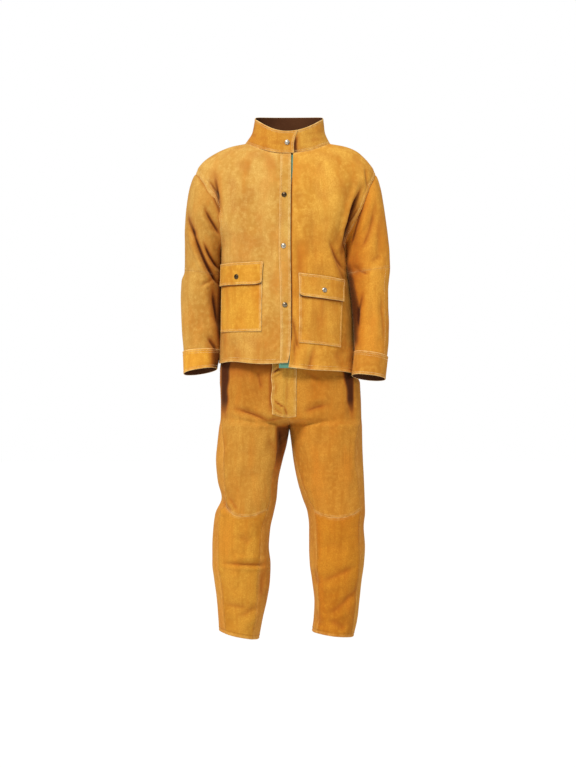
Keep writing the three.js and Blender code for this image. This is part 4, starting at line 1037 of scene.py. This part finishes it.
# sleeves in two lengths, with a cuff sewn over the lower end
sleeveSize = {"cuffHeight": 66, "cuffLap": 12, "cuffGap": 0.7, "seamGap": 0.3}
for side, shape in sleeveShapes.items():
    sleeve, surface = shape["sleeve"], shape["surface"]
    rings, facing, lower = sleeve["rings"], sleeve["facing"], side.lower()
    data = rings["data"]
    cuffTop = sleeveSize["cuffHeight"] / (data[1, 1] - data[0, 1])
    perMm = 1 / (data[2, 1] - data[1, 1])
    gap = sleeveSize["seamGap"] * perMm
    tube = {
        "surface": surface, "lastRow": rings["last"], "facing": facing, "closed": True, "slot": "jacket_leather",
        "across": np.linspace(0, 1, sleeveGrid["columns"] + 1),
        # painted shade: a warmer, darker tint on the half towards the body, fading out towards the cuff
        "tan": lambda p: sleeve["tan"] * (1 - ease(np.abs(p[..., 0]), 196, 262)) * ease(p[..., 2], -620, -560),
    }
    sleeveEnd = cuffTop - sleeveSize["cuffLap"] * perMm

    def placeUpper(s, t):
        top = np.interp(s, np.linspace(0, 1, len(shape["topRows"])), shape["topRows"])
        return s * 2 * np.pi, mix(sleeve["elbow"] + gap, top, t)

    upper = makeWall("sleeveUpper" + side, {
        **tube, "up": edgeSteps(330, sleeveGrid["step"]), "place": placeUpper, "node": "sleeve_upper_" + lower,
        "borders": {"bottom": 0.3}, "hide": "sleeve" + side, "edge": soiledEdge,
        "shade": lambda p, s, t: 0.65 * hill((1 - t) * 26, 0, 1) * ease(np.sin(s * 2 * np.pi), -0.2, 0.4),
        "sewnTo": ["jacket_back", "jacket_front_" + lower],
    })
    makeWall("sleeveLower" + side, {
        **tube, "up": edgeSteps(300, sleeveGrid["step"]), "node": "sleeve_lower_" + lower,
        "place": lambda s, t: (s * 2 * np.pi, mix(sleeveEnd, sleeve["elbow"] - gap, t)),
        "borders": {"top": 0.25}, "hide": "sleeve" + side, "edge": soiledEdge,
        "sewnTo": ["sleeve_upper_" + lower],
    })
    cuff = makeWall("cuff" + side, {
        **tube, "up": edgeSteps(sleeveSize["cuffHeight"], 4.5), "node": "cuff_" + lower,
        "place": lambda s, t: (s * 2 * np.pi, mix(0, cuffTop, t)),
        "lift": sleeveSize["cuffGap"] + leather, "borders": {"top": 1.0, "bottom": 1.0},
        "shade": lambda p, s, t: sleeve["cuffShade"] * (1 - ease(np.abs(p[..., 0]), 214, 240)),  # beside the body
        "hide": "cuff" + side, "sewnTo": ["sleeve_lower_" + lower],
    })
    for border, inset in (("top", sewnAt), ("top", 12), ("bottom", 7)):
        stitchBeside("jacket", cuff, border, inset)
    for low, high in ((0, 0.13), (0.55, 1)):  # elsewhere in front the thread has sunk into the hide
        stitchBeside("jacket", upper, "bottom", sewnAt, low, high)
    if side == "Left":
        stitchAlong("jacket", surface, rings["last"], facing, 39.5, cuffTop, sleeve["elbow"] - 0.1)
    armCentre = shape["rim"].mean(0)
    armRows = ((6.0, 1.3),) if side == "Right" else ((5.0, 1.3), (11.0, 0.3))
    for inset, above in armRows:  # round the armhole on the body: mm from the seam, and above the hide
        run = []
        for point in shape["rim"]:
            near, way = bodyTree.find_nearest(Vector(point))[:2]
            spread = Vector(point - armCentre)
            spread = (spread - way * spread.dot(way)).normalized()
            landed, way = bodyTree.find_nearest(near + spread * inset)[:2]
            run.append(np.array(landed + way * above))
        stitchRuns["jacket"].append(np.array(run))
print("sleeves made")


# stand collar, its right end lapped over its left end
def lapEnd(t):  # the lap's end leans and bows a little
    return collarLap["to"] + 7.5 * (t - 0.5) - 2.5 * np.sin(np.pi * t)


def placeCollar(s, t):
    return mix(collarLap["from"], lapEnd(t), s) * degree, t * collarRings["last"]


def besideLap(p, s, t):
    past = mix(collarLap["from"], lapEnd(t), s) + 360 - lapEnd(t)
    return np.where(s < 0.2, 0.95 * hill(past, 2, 4) * ease(1 - t, 0.05, 0.55), 0)


collar = makeWall("standCollar", {
    "surface": collarWall, "lastRow": collarRings["last"], "across": edgeSteps(640, 4.5), "up": edgeSteps(74, 4.5),
    "place": placeCollar, "shade": besideLap, "tan": lambda p: 0.65 * (1 - ease(p[..., 0], -30, 35)),
    "node": "collar", "slot": "jacket_leather",
    "borders": {"bottom": 0.9, "top": 1.0, "left": 0.5, "right": 0.9},
    "hide": "collar", "sewnTo": ["jacket_back", "jacket_front_right", "jacket_front_left"],
})
for border in ("bottom", "top", "right"):
    stitchBeside("jacket", collar, border, 6)

# placket band on the right front, and the cotton strip behind the opening
placketBand = {"gap": 0.7, "top": 0.25}


def placePlacket(s, t):
    low, high = torsoRowAt(hem["rightFront"]), torsoTop - placketBand["top"]
    row = mix(low, high, np.interp(t, bodyUp, frontShare)) + wavyHem(1.0, t, 4)
    return mix(frontEdgeAngle("placket", row), frontEdgeAngle("right", row, 1.6), s), row


placket = makeWall("frontPlacket", {
    "surface": torso, "lastRow": torsoTop, "across": edgeSteps(30, 3.5), "up": bodyUp, "place": placePlacket,
    "lift": placketBand["gap"] + leather, "node": "front_placket", "slot": "jacket_leather",
    "borders": {"left": 0.6, "right": 1.0, "bottom": 1.0, "top": 0.6},
    "hide": "placket", "sewnTo": ["jacket_front_right"],
})
stitchBeside("jacket", placket, "left", 4)
stitchBeside("jacket", placket, "right", 5)
underlap = {"right": -24, "left": 30, "bottom": -655, "top": 16, "thick": 1.2, "depth": 2.91}


def placeUnderlap(s, t):
    row = mix(torsoRowAt(underlap["bottom"]), torsoRowAt(underlap["top"]), np.interp(t, bodyUp, frontShare))
    return frontAngle(mix(underlap["right"], underlap["left"], s), row), row


makeWall("frontUnderlap", {
    "surface": torso, "lastRow": torsoTop, "across": edgeSteps(54, 5), "up": bodyUp, "place": placeUnderlap,
    "lift": -underlap["depth"], "thick": underlap["thick"], "node": "front_underlap", "slot": "underlap_cotton",
    "materials": [cotton, cotton, cotton], "sewnTo": ["jacket_front_left"],
})
print("collar and front bands made")

# patch pockets, their flaps held down by snaps
pocketSize = {"gap": 1.1, "puff": 2.4, "flapSeat": 4.2, "corner": 13}
pockets = {
    "Right": {
        "patch": ((-72, -346), (-192, -348), (-194, -548), (-75, -547)),  # inner top, outer top, outer low, inner low
        "flap": ((-70, -345), (-192.5, -347), (-193, -411), (-72, -408)),
        "snap": (-143, -387), "bands": (), "curl": 0.0,
    },
    "Left": {
        "patch": ((36, -380), (164, -398), (158, -593), (36, -580)),
        "flap": ((34, -378), (166, -396), (164, -458), (37, -444)),
        "snap": (107, -428), "curl": 3.2,
        "bands": ((104, 9, 0.3), (46, 8, 0.22), (78, 6, 0.14)),  # painted shade of folds down the bag: x, width, strength
    },
}


def patchPlace(corners, corner):
    (inTopX, inTopZ), (outTopX, outTopZ), (outLowX, outLowZ), (inLowX, inLowZ) = corners
    flip = inTopX > outTopX

    def place(s, t):
        f = 1 - s if flip else s
        left = np.maximum(1 - f * abs(inLowX - outLowX) / max(corner, 1), 0)
        low = mix(inLowZ, outLowZ, f) + 0.7 * corner * (1 - np.sqrt(1 - left**2))
        row = torsoRowAt(mix(low, mix(inTopZ, outTopZ, f), t))
        near = frontAngle(mix(inLowX, inTopX, t), row)
        far = frontAngle(mix(outLowX, outTopX, t), row)
        return mix(near, far, f), row
    return place


for side, pocket in pockets.items():
    lower = side.lower()
    common = {"surface": torso, "lastRow": torsoTop, "slot": "jacket_leather", "hide": "pocket" + side}
    (outX, outZ), (inX, inZ) = pocket["flap"][2:]

    def underFlap(p, s, t):  # shade at the flap's lower edge
        x = p[..., 0]
        below = (outZ + inZ) / 2 + (outZ - inZ) / (outX - inX) * (x - (outX + inX) / 2) - p[..., 2]
        dark = 0.8 * hill(below, 0, 5.0) + 0.6 * (below < 0)
        for bandX, width, strength in pocket["bands"]:
            dark = np.maximum(dark, strength * hill(x - bandX + 0.05 * below, 0, width) * ease(below, 150, 60))
        return dark

    puff = pocketSize["puff"]
    bag = makeWall("pocket" + side, {
        **common, "across": edgeSteps(125, 4), "up": edgeSteps(200, 4.5), "place": patchPlace(pocket["patch"], 0),
        "lift": lambda s, t: pocketSize["gap"] + leather + puff * np.sin(np.pi * s) * np.sin(np.pi * t),
        "shade": underFlap, "node": "pocket_" + lower, "borders": {"left": 0.9, "right": 0.9, "bottom": 0.9},
        "sewnTo": ["jacket_front_" + lower],
    })
    cover = makeWall("pocketFlap" + side, {
        **common, "across": edgeSteps(125, 3.5), "up": edgeSteps(64, 4),
        "place": patchPlace(pocket["flap"], pocketSize["corner"]),
        "lift": lambda s, t: pocketSize["flapSeat"] + leather + (
            puff * np.sin(np.pi * s) + 1.2 + pocket["curl"] * hill(s, 0, 0.22)
        ) * (1 - t) ** 1.5,
        "node": "pocket_flap_" + lower, "borders": {"left": 0.9, "right": 0.9, "bottom": 1.0, "top": 0.9},
        "sewnTo": ["jacket_front_" + lower],
    })
    for border in ("left", "right", "bottom"):
        stitchBeside("jacket", bag, border, 5)
        stitchBeside("jacket", cover, border, 5)
    stitchBeside("jacket", cover, "top", 5)
print("pockets made")


# snap caps: a shallow dome in a rolled ring, pressed on the hide
snapCap = {
    "radius": 7.5, "height": 3.4, "turns": 36, "gap": 0.3, "across": 0.47, "onFlap": 5.7,
    "front": ((-138, bareBrass), (-298, nickel), (-471, dullNickel)),  # height and metal down the placket
    "collar": (270.2 * degree, 0.93),  # angle and row
}


def makeSnap(name, node, surface, lastRow, angle, row, seat, metal=nickel):
    profile = [  # radius and height as shares
        (0.0, 0.0), (0.80, 0.0), (0.93, 0.06), (1.0, 0.22), (1.0, 0.40), (0.93, 0.55), (0.86, 0.56), (0.80, 0.50),
        (0.76, 0.60), (0.62, 0.78), (0.42, 0.91), (0.2, 0.98), (0.0, 1.0),
    ]
    angle, row = np.array(float(angle)), np.array(float(row))
    way = outward(surface, angle, row, lastRow, 1)
    centre = surface(angle, row) + way * (seat + snapCap["gap"])
    turn = Vector(way).to_track_quat("Z", "Y").to_matrix()
    points, faces, count = [], [], snapCap["turns"]
    for r, h in profile[1:-1]:
        for k in range(count):
            a = 2 * math.pi * k / count
            wide = r * snapCap["radius"]
            local = Vector((wide * math.cos(a), wide * math.sin(a), h * snapCap["height"]))
            points.append((Vector(centre) + turn @ local) * mm)
    rows = len(profile) - 2
    for j in range(rows - 1):
        for k in range(count):
            n = (k + 1) % count
            faces.append((j * count + k, j * count + n, (j + 1) * count + n, (j + 1) * count + k))
    for ring, share, flip in ((0, 0.0, True), (rows - 1, 1.0, False)):
        hub = len(points)
        points.append((Vector(centre) + turn @ Vector((0, 0, share * snapCap["height"]))) * mm)
        for k in range(count):
            a, b = ring * count + k, ring * count + (k + 1) % count
            faces.append((b, a, hub) if flip else (a, b, hub))
    mesh = bpy.data.meshes.new(name)
    mesh.from_pydata(points, [], faces)
    mesh.polygons.foreach_set("use_smooth", np.ones(len(faces), bool))
    mesh.materials.append(metal)
    made = bpy.data.objects.new(name, mesh)
    scene.collection.objects.link(made)
    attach(made, "root")
    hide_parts(node)


for k, (z, metal) in enumerate(snapCap["front"], 1):
    row = torsoRowAt(z)
    angle = mix(frontEdgeAngle("placket", row), frontEdgeAngle("right", row), snapCap["across"])
    seat = placketBand["gap"] + leather
    makeSnap("snapFront%d" % k, "snap_front_%d" % k, torso, torsoTop, angle, row, seat, metal)
for side, pocket in pockets.items():
    row = torsoRowAt(pocket["snap"][1])
    angle = frontAngle(np.array(float(pocket["snap"][0])), row)
    metal = bareBrass if side == "Right" else nickel
    seat = snapCap["onFlap"] + leather
    makeSnap("snapPocket" + side, "snap_pocket_" + side.lower(), torso, torsoTop, angle, row, seat, metal)
makeSnap("snapCollar", "snap_collar", collarWall, collarRings["last"], *snapCap["collar"], 0)
print("snaps made")

# trousers: for each leg a full-length back and a front in two lengths
legGrid = {"step": 3.6, "kneeGap": 0.3}
hips = {  # painted shade under the jacket: the shaded sides from and until in mm off the middle, and the painted shadow along the hem
    "Right": {
        "from": 160, "taper": 0.08, "until": 197, "hem": -640, "soil": 0.6, "lap": -49, "tan": 0.6, "inner": 0.8,
    },
    "Left": {
        "from": 154, "taper": 0.17, "until": 198, "hem": -662, "soil": 0.05, "lap": 400, "tan": 0.1, "inner": 0.0,
    },
}
halves = {}
for side, leg, seed in (("Right", legRight, 41), ("Left", legLeft, 51)):
    rings, lower, hip = leg["rings"], side.lower(), hips[side]
    fore = legSurface(leg, "leg" + side, seed, False)
    rear = legSurface(leg, "leg" + side, seed, True)
    bottom, top = rings["data"][0, 1], rings["data"][-1, 1]

    def kneeZ(s):
        outer, inner, dip = leg["knee"]
        return mix(outer, inner, s) - dip * np.sin(np.pi * s)

    # painted shade on the hips: dark sides, a band beside the fly, the hem's shadow and the crotch
    def underJacket(p, s, t):
        x, z = p[..., 0], p[..., 2]
        near = hip["from"] - hip["taper"] * (z + 640) + 2.5 * np.sin(z / 13) * np.sin(z / 31)
        stripe = ease(abs(x), near, near + 13) * (1 - ease(abs(x), hip["until"] - 4, hip["until"] + 5))
        besideFly = 0.6 * hill(x, hip["lap"], 6) * ease(z, -800, -760)
        soil = hip["soil"] * hill(z, hip["hem"], 40)
        crotch = hip["inner"] * ease(x, -38, -26) * ease(-z, 818, 834) * ease(z, -950, -890)
        return np.maximum.reduce([0.92 * stripe * ease(z, -830, -745), soil, besideFly, crotch])

    def frontAngles(s, row):
        ring = readRow(rings, row)
        return mix(ring["outSeam"] * degree + seam, ring["inSeam"] * degree - seam, s)

    def placeThigh(s, t):
        row = rowWhere(rings, "outerZ", mix(kneeZ(s) + legGrid["kneeGap"], top, t))
        return frontAngles(s, row), row

    def placeShin(s, t):
        row = rowWhere(rings, "outerZ", mix(bottom, kneeZ(s) - legGrid["kneeGap"], t))
        return frontAngles(s, row), row

    def placeBackLeg(s, t):
        row = rowWhere(rings, "outerZ", mix(bottom, top, t))
        ring = readRow(rings, row)
        end = (ring["outSeam"] + 360) * degree
        return mix(ring["inSeam"] * degree + seam, end - seam, s), row

    common = {"lastRow": rings["last"], "facing": leg["facing"], "slot": "trouser_leather"}
    thigh = makeWall("trouserFrontUpper" + side, {
        **common, "surface": fore, "across": edgeSteps(230, legGrid["step"]), "up": edgeSteps(550, legGrid["step"]),
        "place": placeThigh, "node": "trouser_front_upper_" + lower,
        "borders": {"left": 0.1, "right": 0.1, "bottom": 0.7},
        # painted shade: a warmer, darker tint high on the hips, under the jacket
        "shade": underJacket, "tan": lambda p: hip["tan"] * ease(p[..., 2], -830, -730),
        "hide": "thigh" + side, "edge": soiledEdge, "sewnTo": ["waistband", "trouser_back_" + lower],
    })
    shin = makeWall("trouserFrontLower" + side, {
        **common, "surface": fore, "across": edgeSteps(190, legGrid["step"]), "up": edgeSteps(380, legGrid["step"]),
        "place": placeShin, "node": "trouser_front_lower_" + lower,
        "borders": {"left": 0.1, "right": 0.1, "top": 0.5, "bottom": 0.6},
        "hide": "shin" + side, "edge": soiledEdge,
        "sewnTo": ["trouser_front_upper_" + lower, "trouser_back_" + lower],
    })
    back = makeWall("trouserBack" + side, {
        **common, "surface": rear, "across": edgeSteps(360, 6.5), "up": edgeSteps(940, 6.0),
        "place": placeBackLeg, "node": "trouser_back_" + lower,
        "borders": {"left": 0.12, "right": 0.15, "bottom": 0.8},
        "shade": lambda p, s, t: hip["inner"] * (1 - ease(s, 0.05, 0.22)) * (
            ease(p[..., 2], -1010, -890) * ease(-p[..., 2], 806, 830)
        ),
        "hide": "trousers", "edge": soiledEdge, "sewnTo": ["waistband", "trouser_front_upper_" + lower],
    })
    for wall, border, inset, low, high in (
        (thigh, "left", 5, 0, 1), (shin, "left", 5, 0, 1), (thigh, "right", 5, 0, 0.22), (shin, "right", 5, 0, 1),
        (shin, "bottom", 12, 0, 1), (back, "bottom", 12, 0, 1), (back, "left", 5, 0.76, 1),
    ):
        stitchBeside("trousers", wall, border, inset, low, high)
    stitchBeside("kneesAndFly", thigh, "bottom", 5)
    halves[side] = fore
print("trouser legs made")

# waistband round the top of both halves, and the fly flap over the centre seam
waist = {"height": 42, "centre": 7.5, "gap": 0.7, "slack": 2.6}


def waistSurface(angle, row, wantShadeAndBlotch=False):
    if wantShadeAndBlotch:
        return 0 * angle
    z = legRight["rings"]["data"][-1, 1] - waist["height"] * (1 - row)
    right, left = [readRow(leg["rings"], rowWhere(leg["rings"], "outerZ", z)) for leg in (legRight, legLeft)]
    ring = {key: np.where(np.cos(angle) < 0, right[key], left[key]) for key in right}
    across, along = np.abs(bent(np.cos(angle), ring["square"])), bent(np.sin(angle), ring["square"])
    return np.stack([
        mix(waist["centre"], ring["outerX"], across),
        ring["y"] + along * np.where(along < 0, ring["front"], ring["back"]),
        z,
    ], -1)


waistband = makeWall("trouserWaistband", {
    "surface": waistSurface, "lastRow": 1, "closed": True, "across": np.linspace(0, 1, 181),
    "up": edgeSteps(waist["height"], 5), "place": lambda s, t: (s * 2 * np.pi, t),
    "lift": waist["gap"] + leather + waist["slack"], "node": "waistband",
    "slot": "trouser_leather", "borders": {"top": 0.8, "bottom": 0.8},
    "hide": "trousers", "edge": soiledEdge, "sewnTo": ["trouser_front_upper_right", "trouser_front_upper_left"],
})
for border in ("top", "bottom"):
    stitchBeside("trousers", waistband, border, 6)
flyFlap = {
    "right": -44, "left": 27, "top": -562, "bottom": -793.5, "lapAt": -9, "lap": 1.6, "gap": 1.0, "deepest": -0.7,
}


def flySurface(x, row, wantShadeAndBlotch=False):
    made = None
    onRight = x < waist["centre"]
    for half, leg, mask in ((halves["Right"], legRight, onRight), (halves["Left"], legLeft, ~onRight)):
        ring = readRow(leg["rings"], row)
        share = np.clip(np.abs(x - ring["innerX"]) / np.abs(ring["outerX"] - ring["innerX"]), 0, 0.999)
        found = half(2 * np.arccos(share ** (ring["square"] / 2)), row, wantShadeAndBlotch)
        shown = mask if wantShadeAndBlotch else mask[..., None]
        made = np.where(shown, found, 0) if made is None else made + np.where(shown, found, 0)
    return made


def flySpot(s, t):  # across and up, in mm
    low = flyFlap["bottom"] - 4 * s + 3 * np.cos(5 * s)
    return mix(flyFlap["right"] + 1.6 * np.sin(23 * t), flyFlap["left"], s), mix(low, flyFlap["top"], t)


def placeFly(s, t):
    x, z = flySpot(s, t)
    return x / 100, rowWhere(legRight["rings"], "outerZ", z)


def flyLift(s, t):
    x, z = flySpot(s, t)
    lap = flyFlap["lap"] * (1 - ease(x, flyFlap["lapAt"] - 1.5, flyFlap["lapAt"] + 1.5))
    return flyFlap["gap"] + leather + lap + np.maximum(foldField("fly", x, z, -1)[0], flyFlap["deepest"])


def flyPlane(x, row, wantShadeAndBlotch=False):  # x in mm taken in hundreds, so that the step for the normal suits it
    return flySurface(x * 100, row, wantShadeAndBlotch)


fly = makeWall("flyFlap", {
    "surface": flyPlane, "lastRow": legRight["rings"]["last"], "across": edgeSteps(71, 2.6),
    "up": edgeSteps(235, 4.5), "place": placeFly, "lift": flyLift, "node": "fly_flap",
    "shade": lambda p, s, t: foldField("fly", p[..., 0], p[..., 2], -1)[1],
    "slot": "trouser_leather", "borders": {"left": 0.9, "right": 0.9, "bottom": 0.8},
    "hide": "fly", "sewnTo": ["trouser_front_upper_right", "trouser_front_upper_left"],
})
for border in ("left", "right", "bottom"):
    stitchBeside("kneesAndFly", fly, border, 5)
stitchBeside("trousers", fly, "right", 27)
print("fly and waistband made")

# stitches: each run becomes a curve, and a short twisted loop of thread lies at every pitch along it
stitching = {"Pitch": 0.0046, "Length": 0.0035, "Thread": 0.001, "Seed": 11}  # sizes in metres


def makeStitchTree():
    tree = bpy.data.node_groups.new("stitchRun", "GeometryNodeTree")
    sockets = {}
    for label, kind in (
        ("Geometry", "NodeSocketGeometry"), ("Pitch", "NodeSocketFloat"), ("Length", "NodeSocketFloat"),
        ("Thread", "NodeSocketFloat"), ("Seed", "NodeSocketInt"), ("Material", "NodeSocketMaterial"),
    ):
        sockets[label] = tree.interface.new_socket(label, in_out="INPUT", socket_type=kind).identifier
    tree.interface.new_socket("Geometry", in_out="OUTPUT", socket_type="NodeSocketGeometry")
    given = addNode(tree, "NodeGroupInput").outputs
    curve = addNode(tree, "GeometryNodeMeshToCurve", {"Mesh": given["Geometry"]}).outputs[0]
    spots = addNode(tree, "GeometryNodeCurveToPoints", {
        "Curve": curve, "Length": given["Pitch"],
    }, mode="LENGTH").outputs
    ball = addNode(tree, "GeometryNodeMeshUVSphere", {"Segments": 6, "Rings": 3, "Radius": 0.5}).outputs["Mesh"]
    size = addNode(tree, "ShaderNodeCombineXYZ", {
        0: given["Thread"], 1: given["Thread"], 2: given["Length"],
    }).outputs[0]
    loop = addNode(tree, "GeometryNodeTransform", {"Geometry": ball, "Scale": size}).outputs[0]
    vary = addNode(tree, "FunctionNodeRandomValue", {
        2: 0.88, 3: 1.1, "Seed": given["Seed"],
    }, data_type="FLOAT").outputs[1]
    laid = addNode(tree, "GeometryNodeInstanceOnPoints", {
        "Points": spots["Points"], "Instance": loop, "Rotation": spots["Rotation"], "Scale": vary,
    }).outputs[0]
    real = addNode(tree, "GeometryNodeRealizeInstances", {0: laid}).outputs[0]
    smooth = addNode(tree, "GeometryNodeSetShadeSmooth", {"Geometry": real}).outputs[0]
    dressed = addNode(tree, "GeometryNodeSetMaterial", {"Geometry": smooth, "Material": given["Material"]}).outputs[0]
    addNode(tree, "NodeGroupOutput", {"Geometry": dressed})
    return tree, sockets


stitchTree, stitchSockets = makeStitchTree()
for garment, runs in stitchRuns.items():
    points, edges = [], []
    for run in runs:
        edges += [(len(points) + k, len(points) + k + 1) for k in range(len(run) - 1)]
        points += (run * mm).tolist()
    mesh = bpy.data.meshes.new(garment + "Stitches")
    mesh.from_pydata(points, edges, [])
    made = bpy.data.objects.new(garment + "Stitches", mesh)
    scene.collection.objects.link(made)
    modifier = made.modifiers.new("stitchRun", "NODES")
    modifier.node_group = stitchTree
    for label, value in {**stitching, "Material": threads[garment]}.items():
        modifier[stitchSockets[label]] = value
    evaluated = made.evaluated_get(bpy.context.evaluated_depsgraph_get())
    sewn = bpy.data.meshes.new_from_object(evaluated)
    made.modifiers.clear()
    made.data = sewn
    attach(made, "root")
    print(garment, "stitches", len(sewn.polygons), "faces")
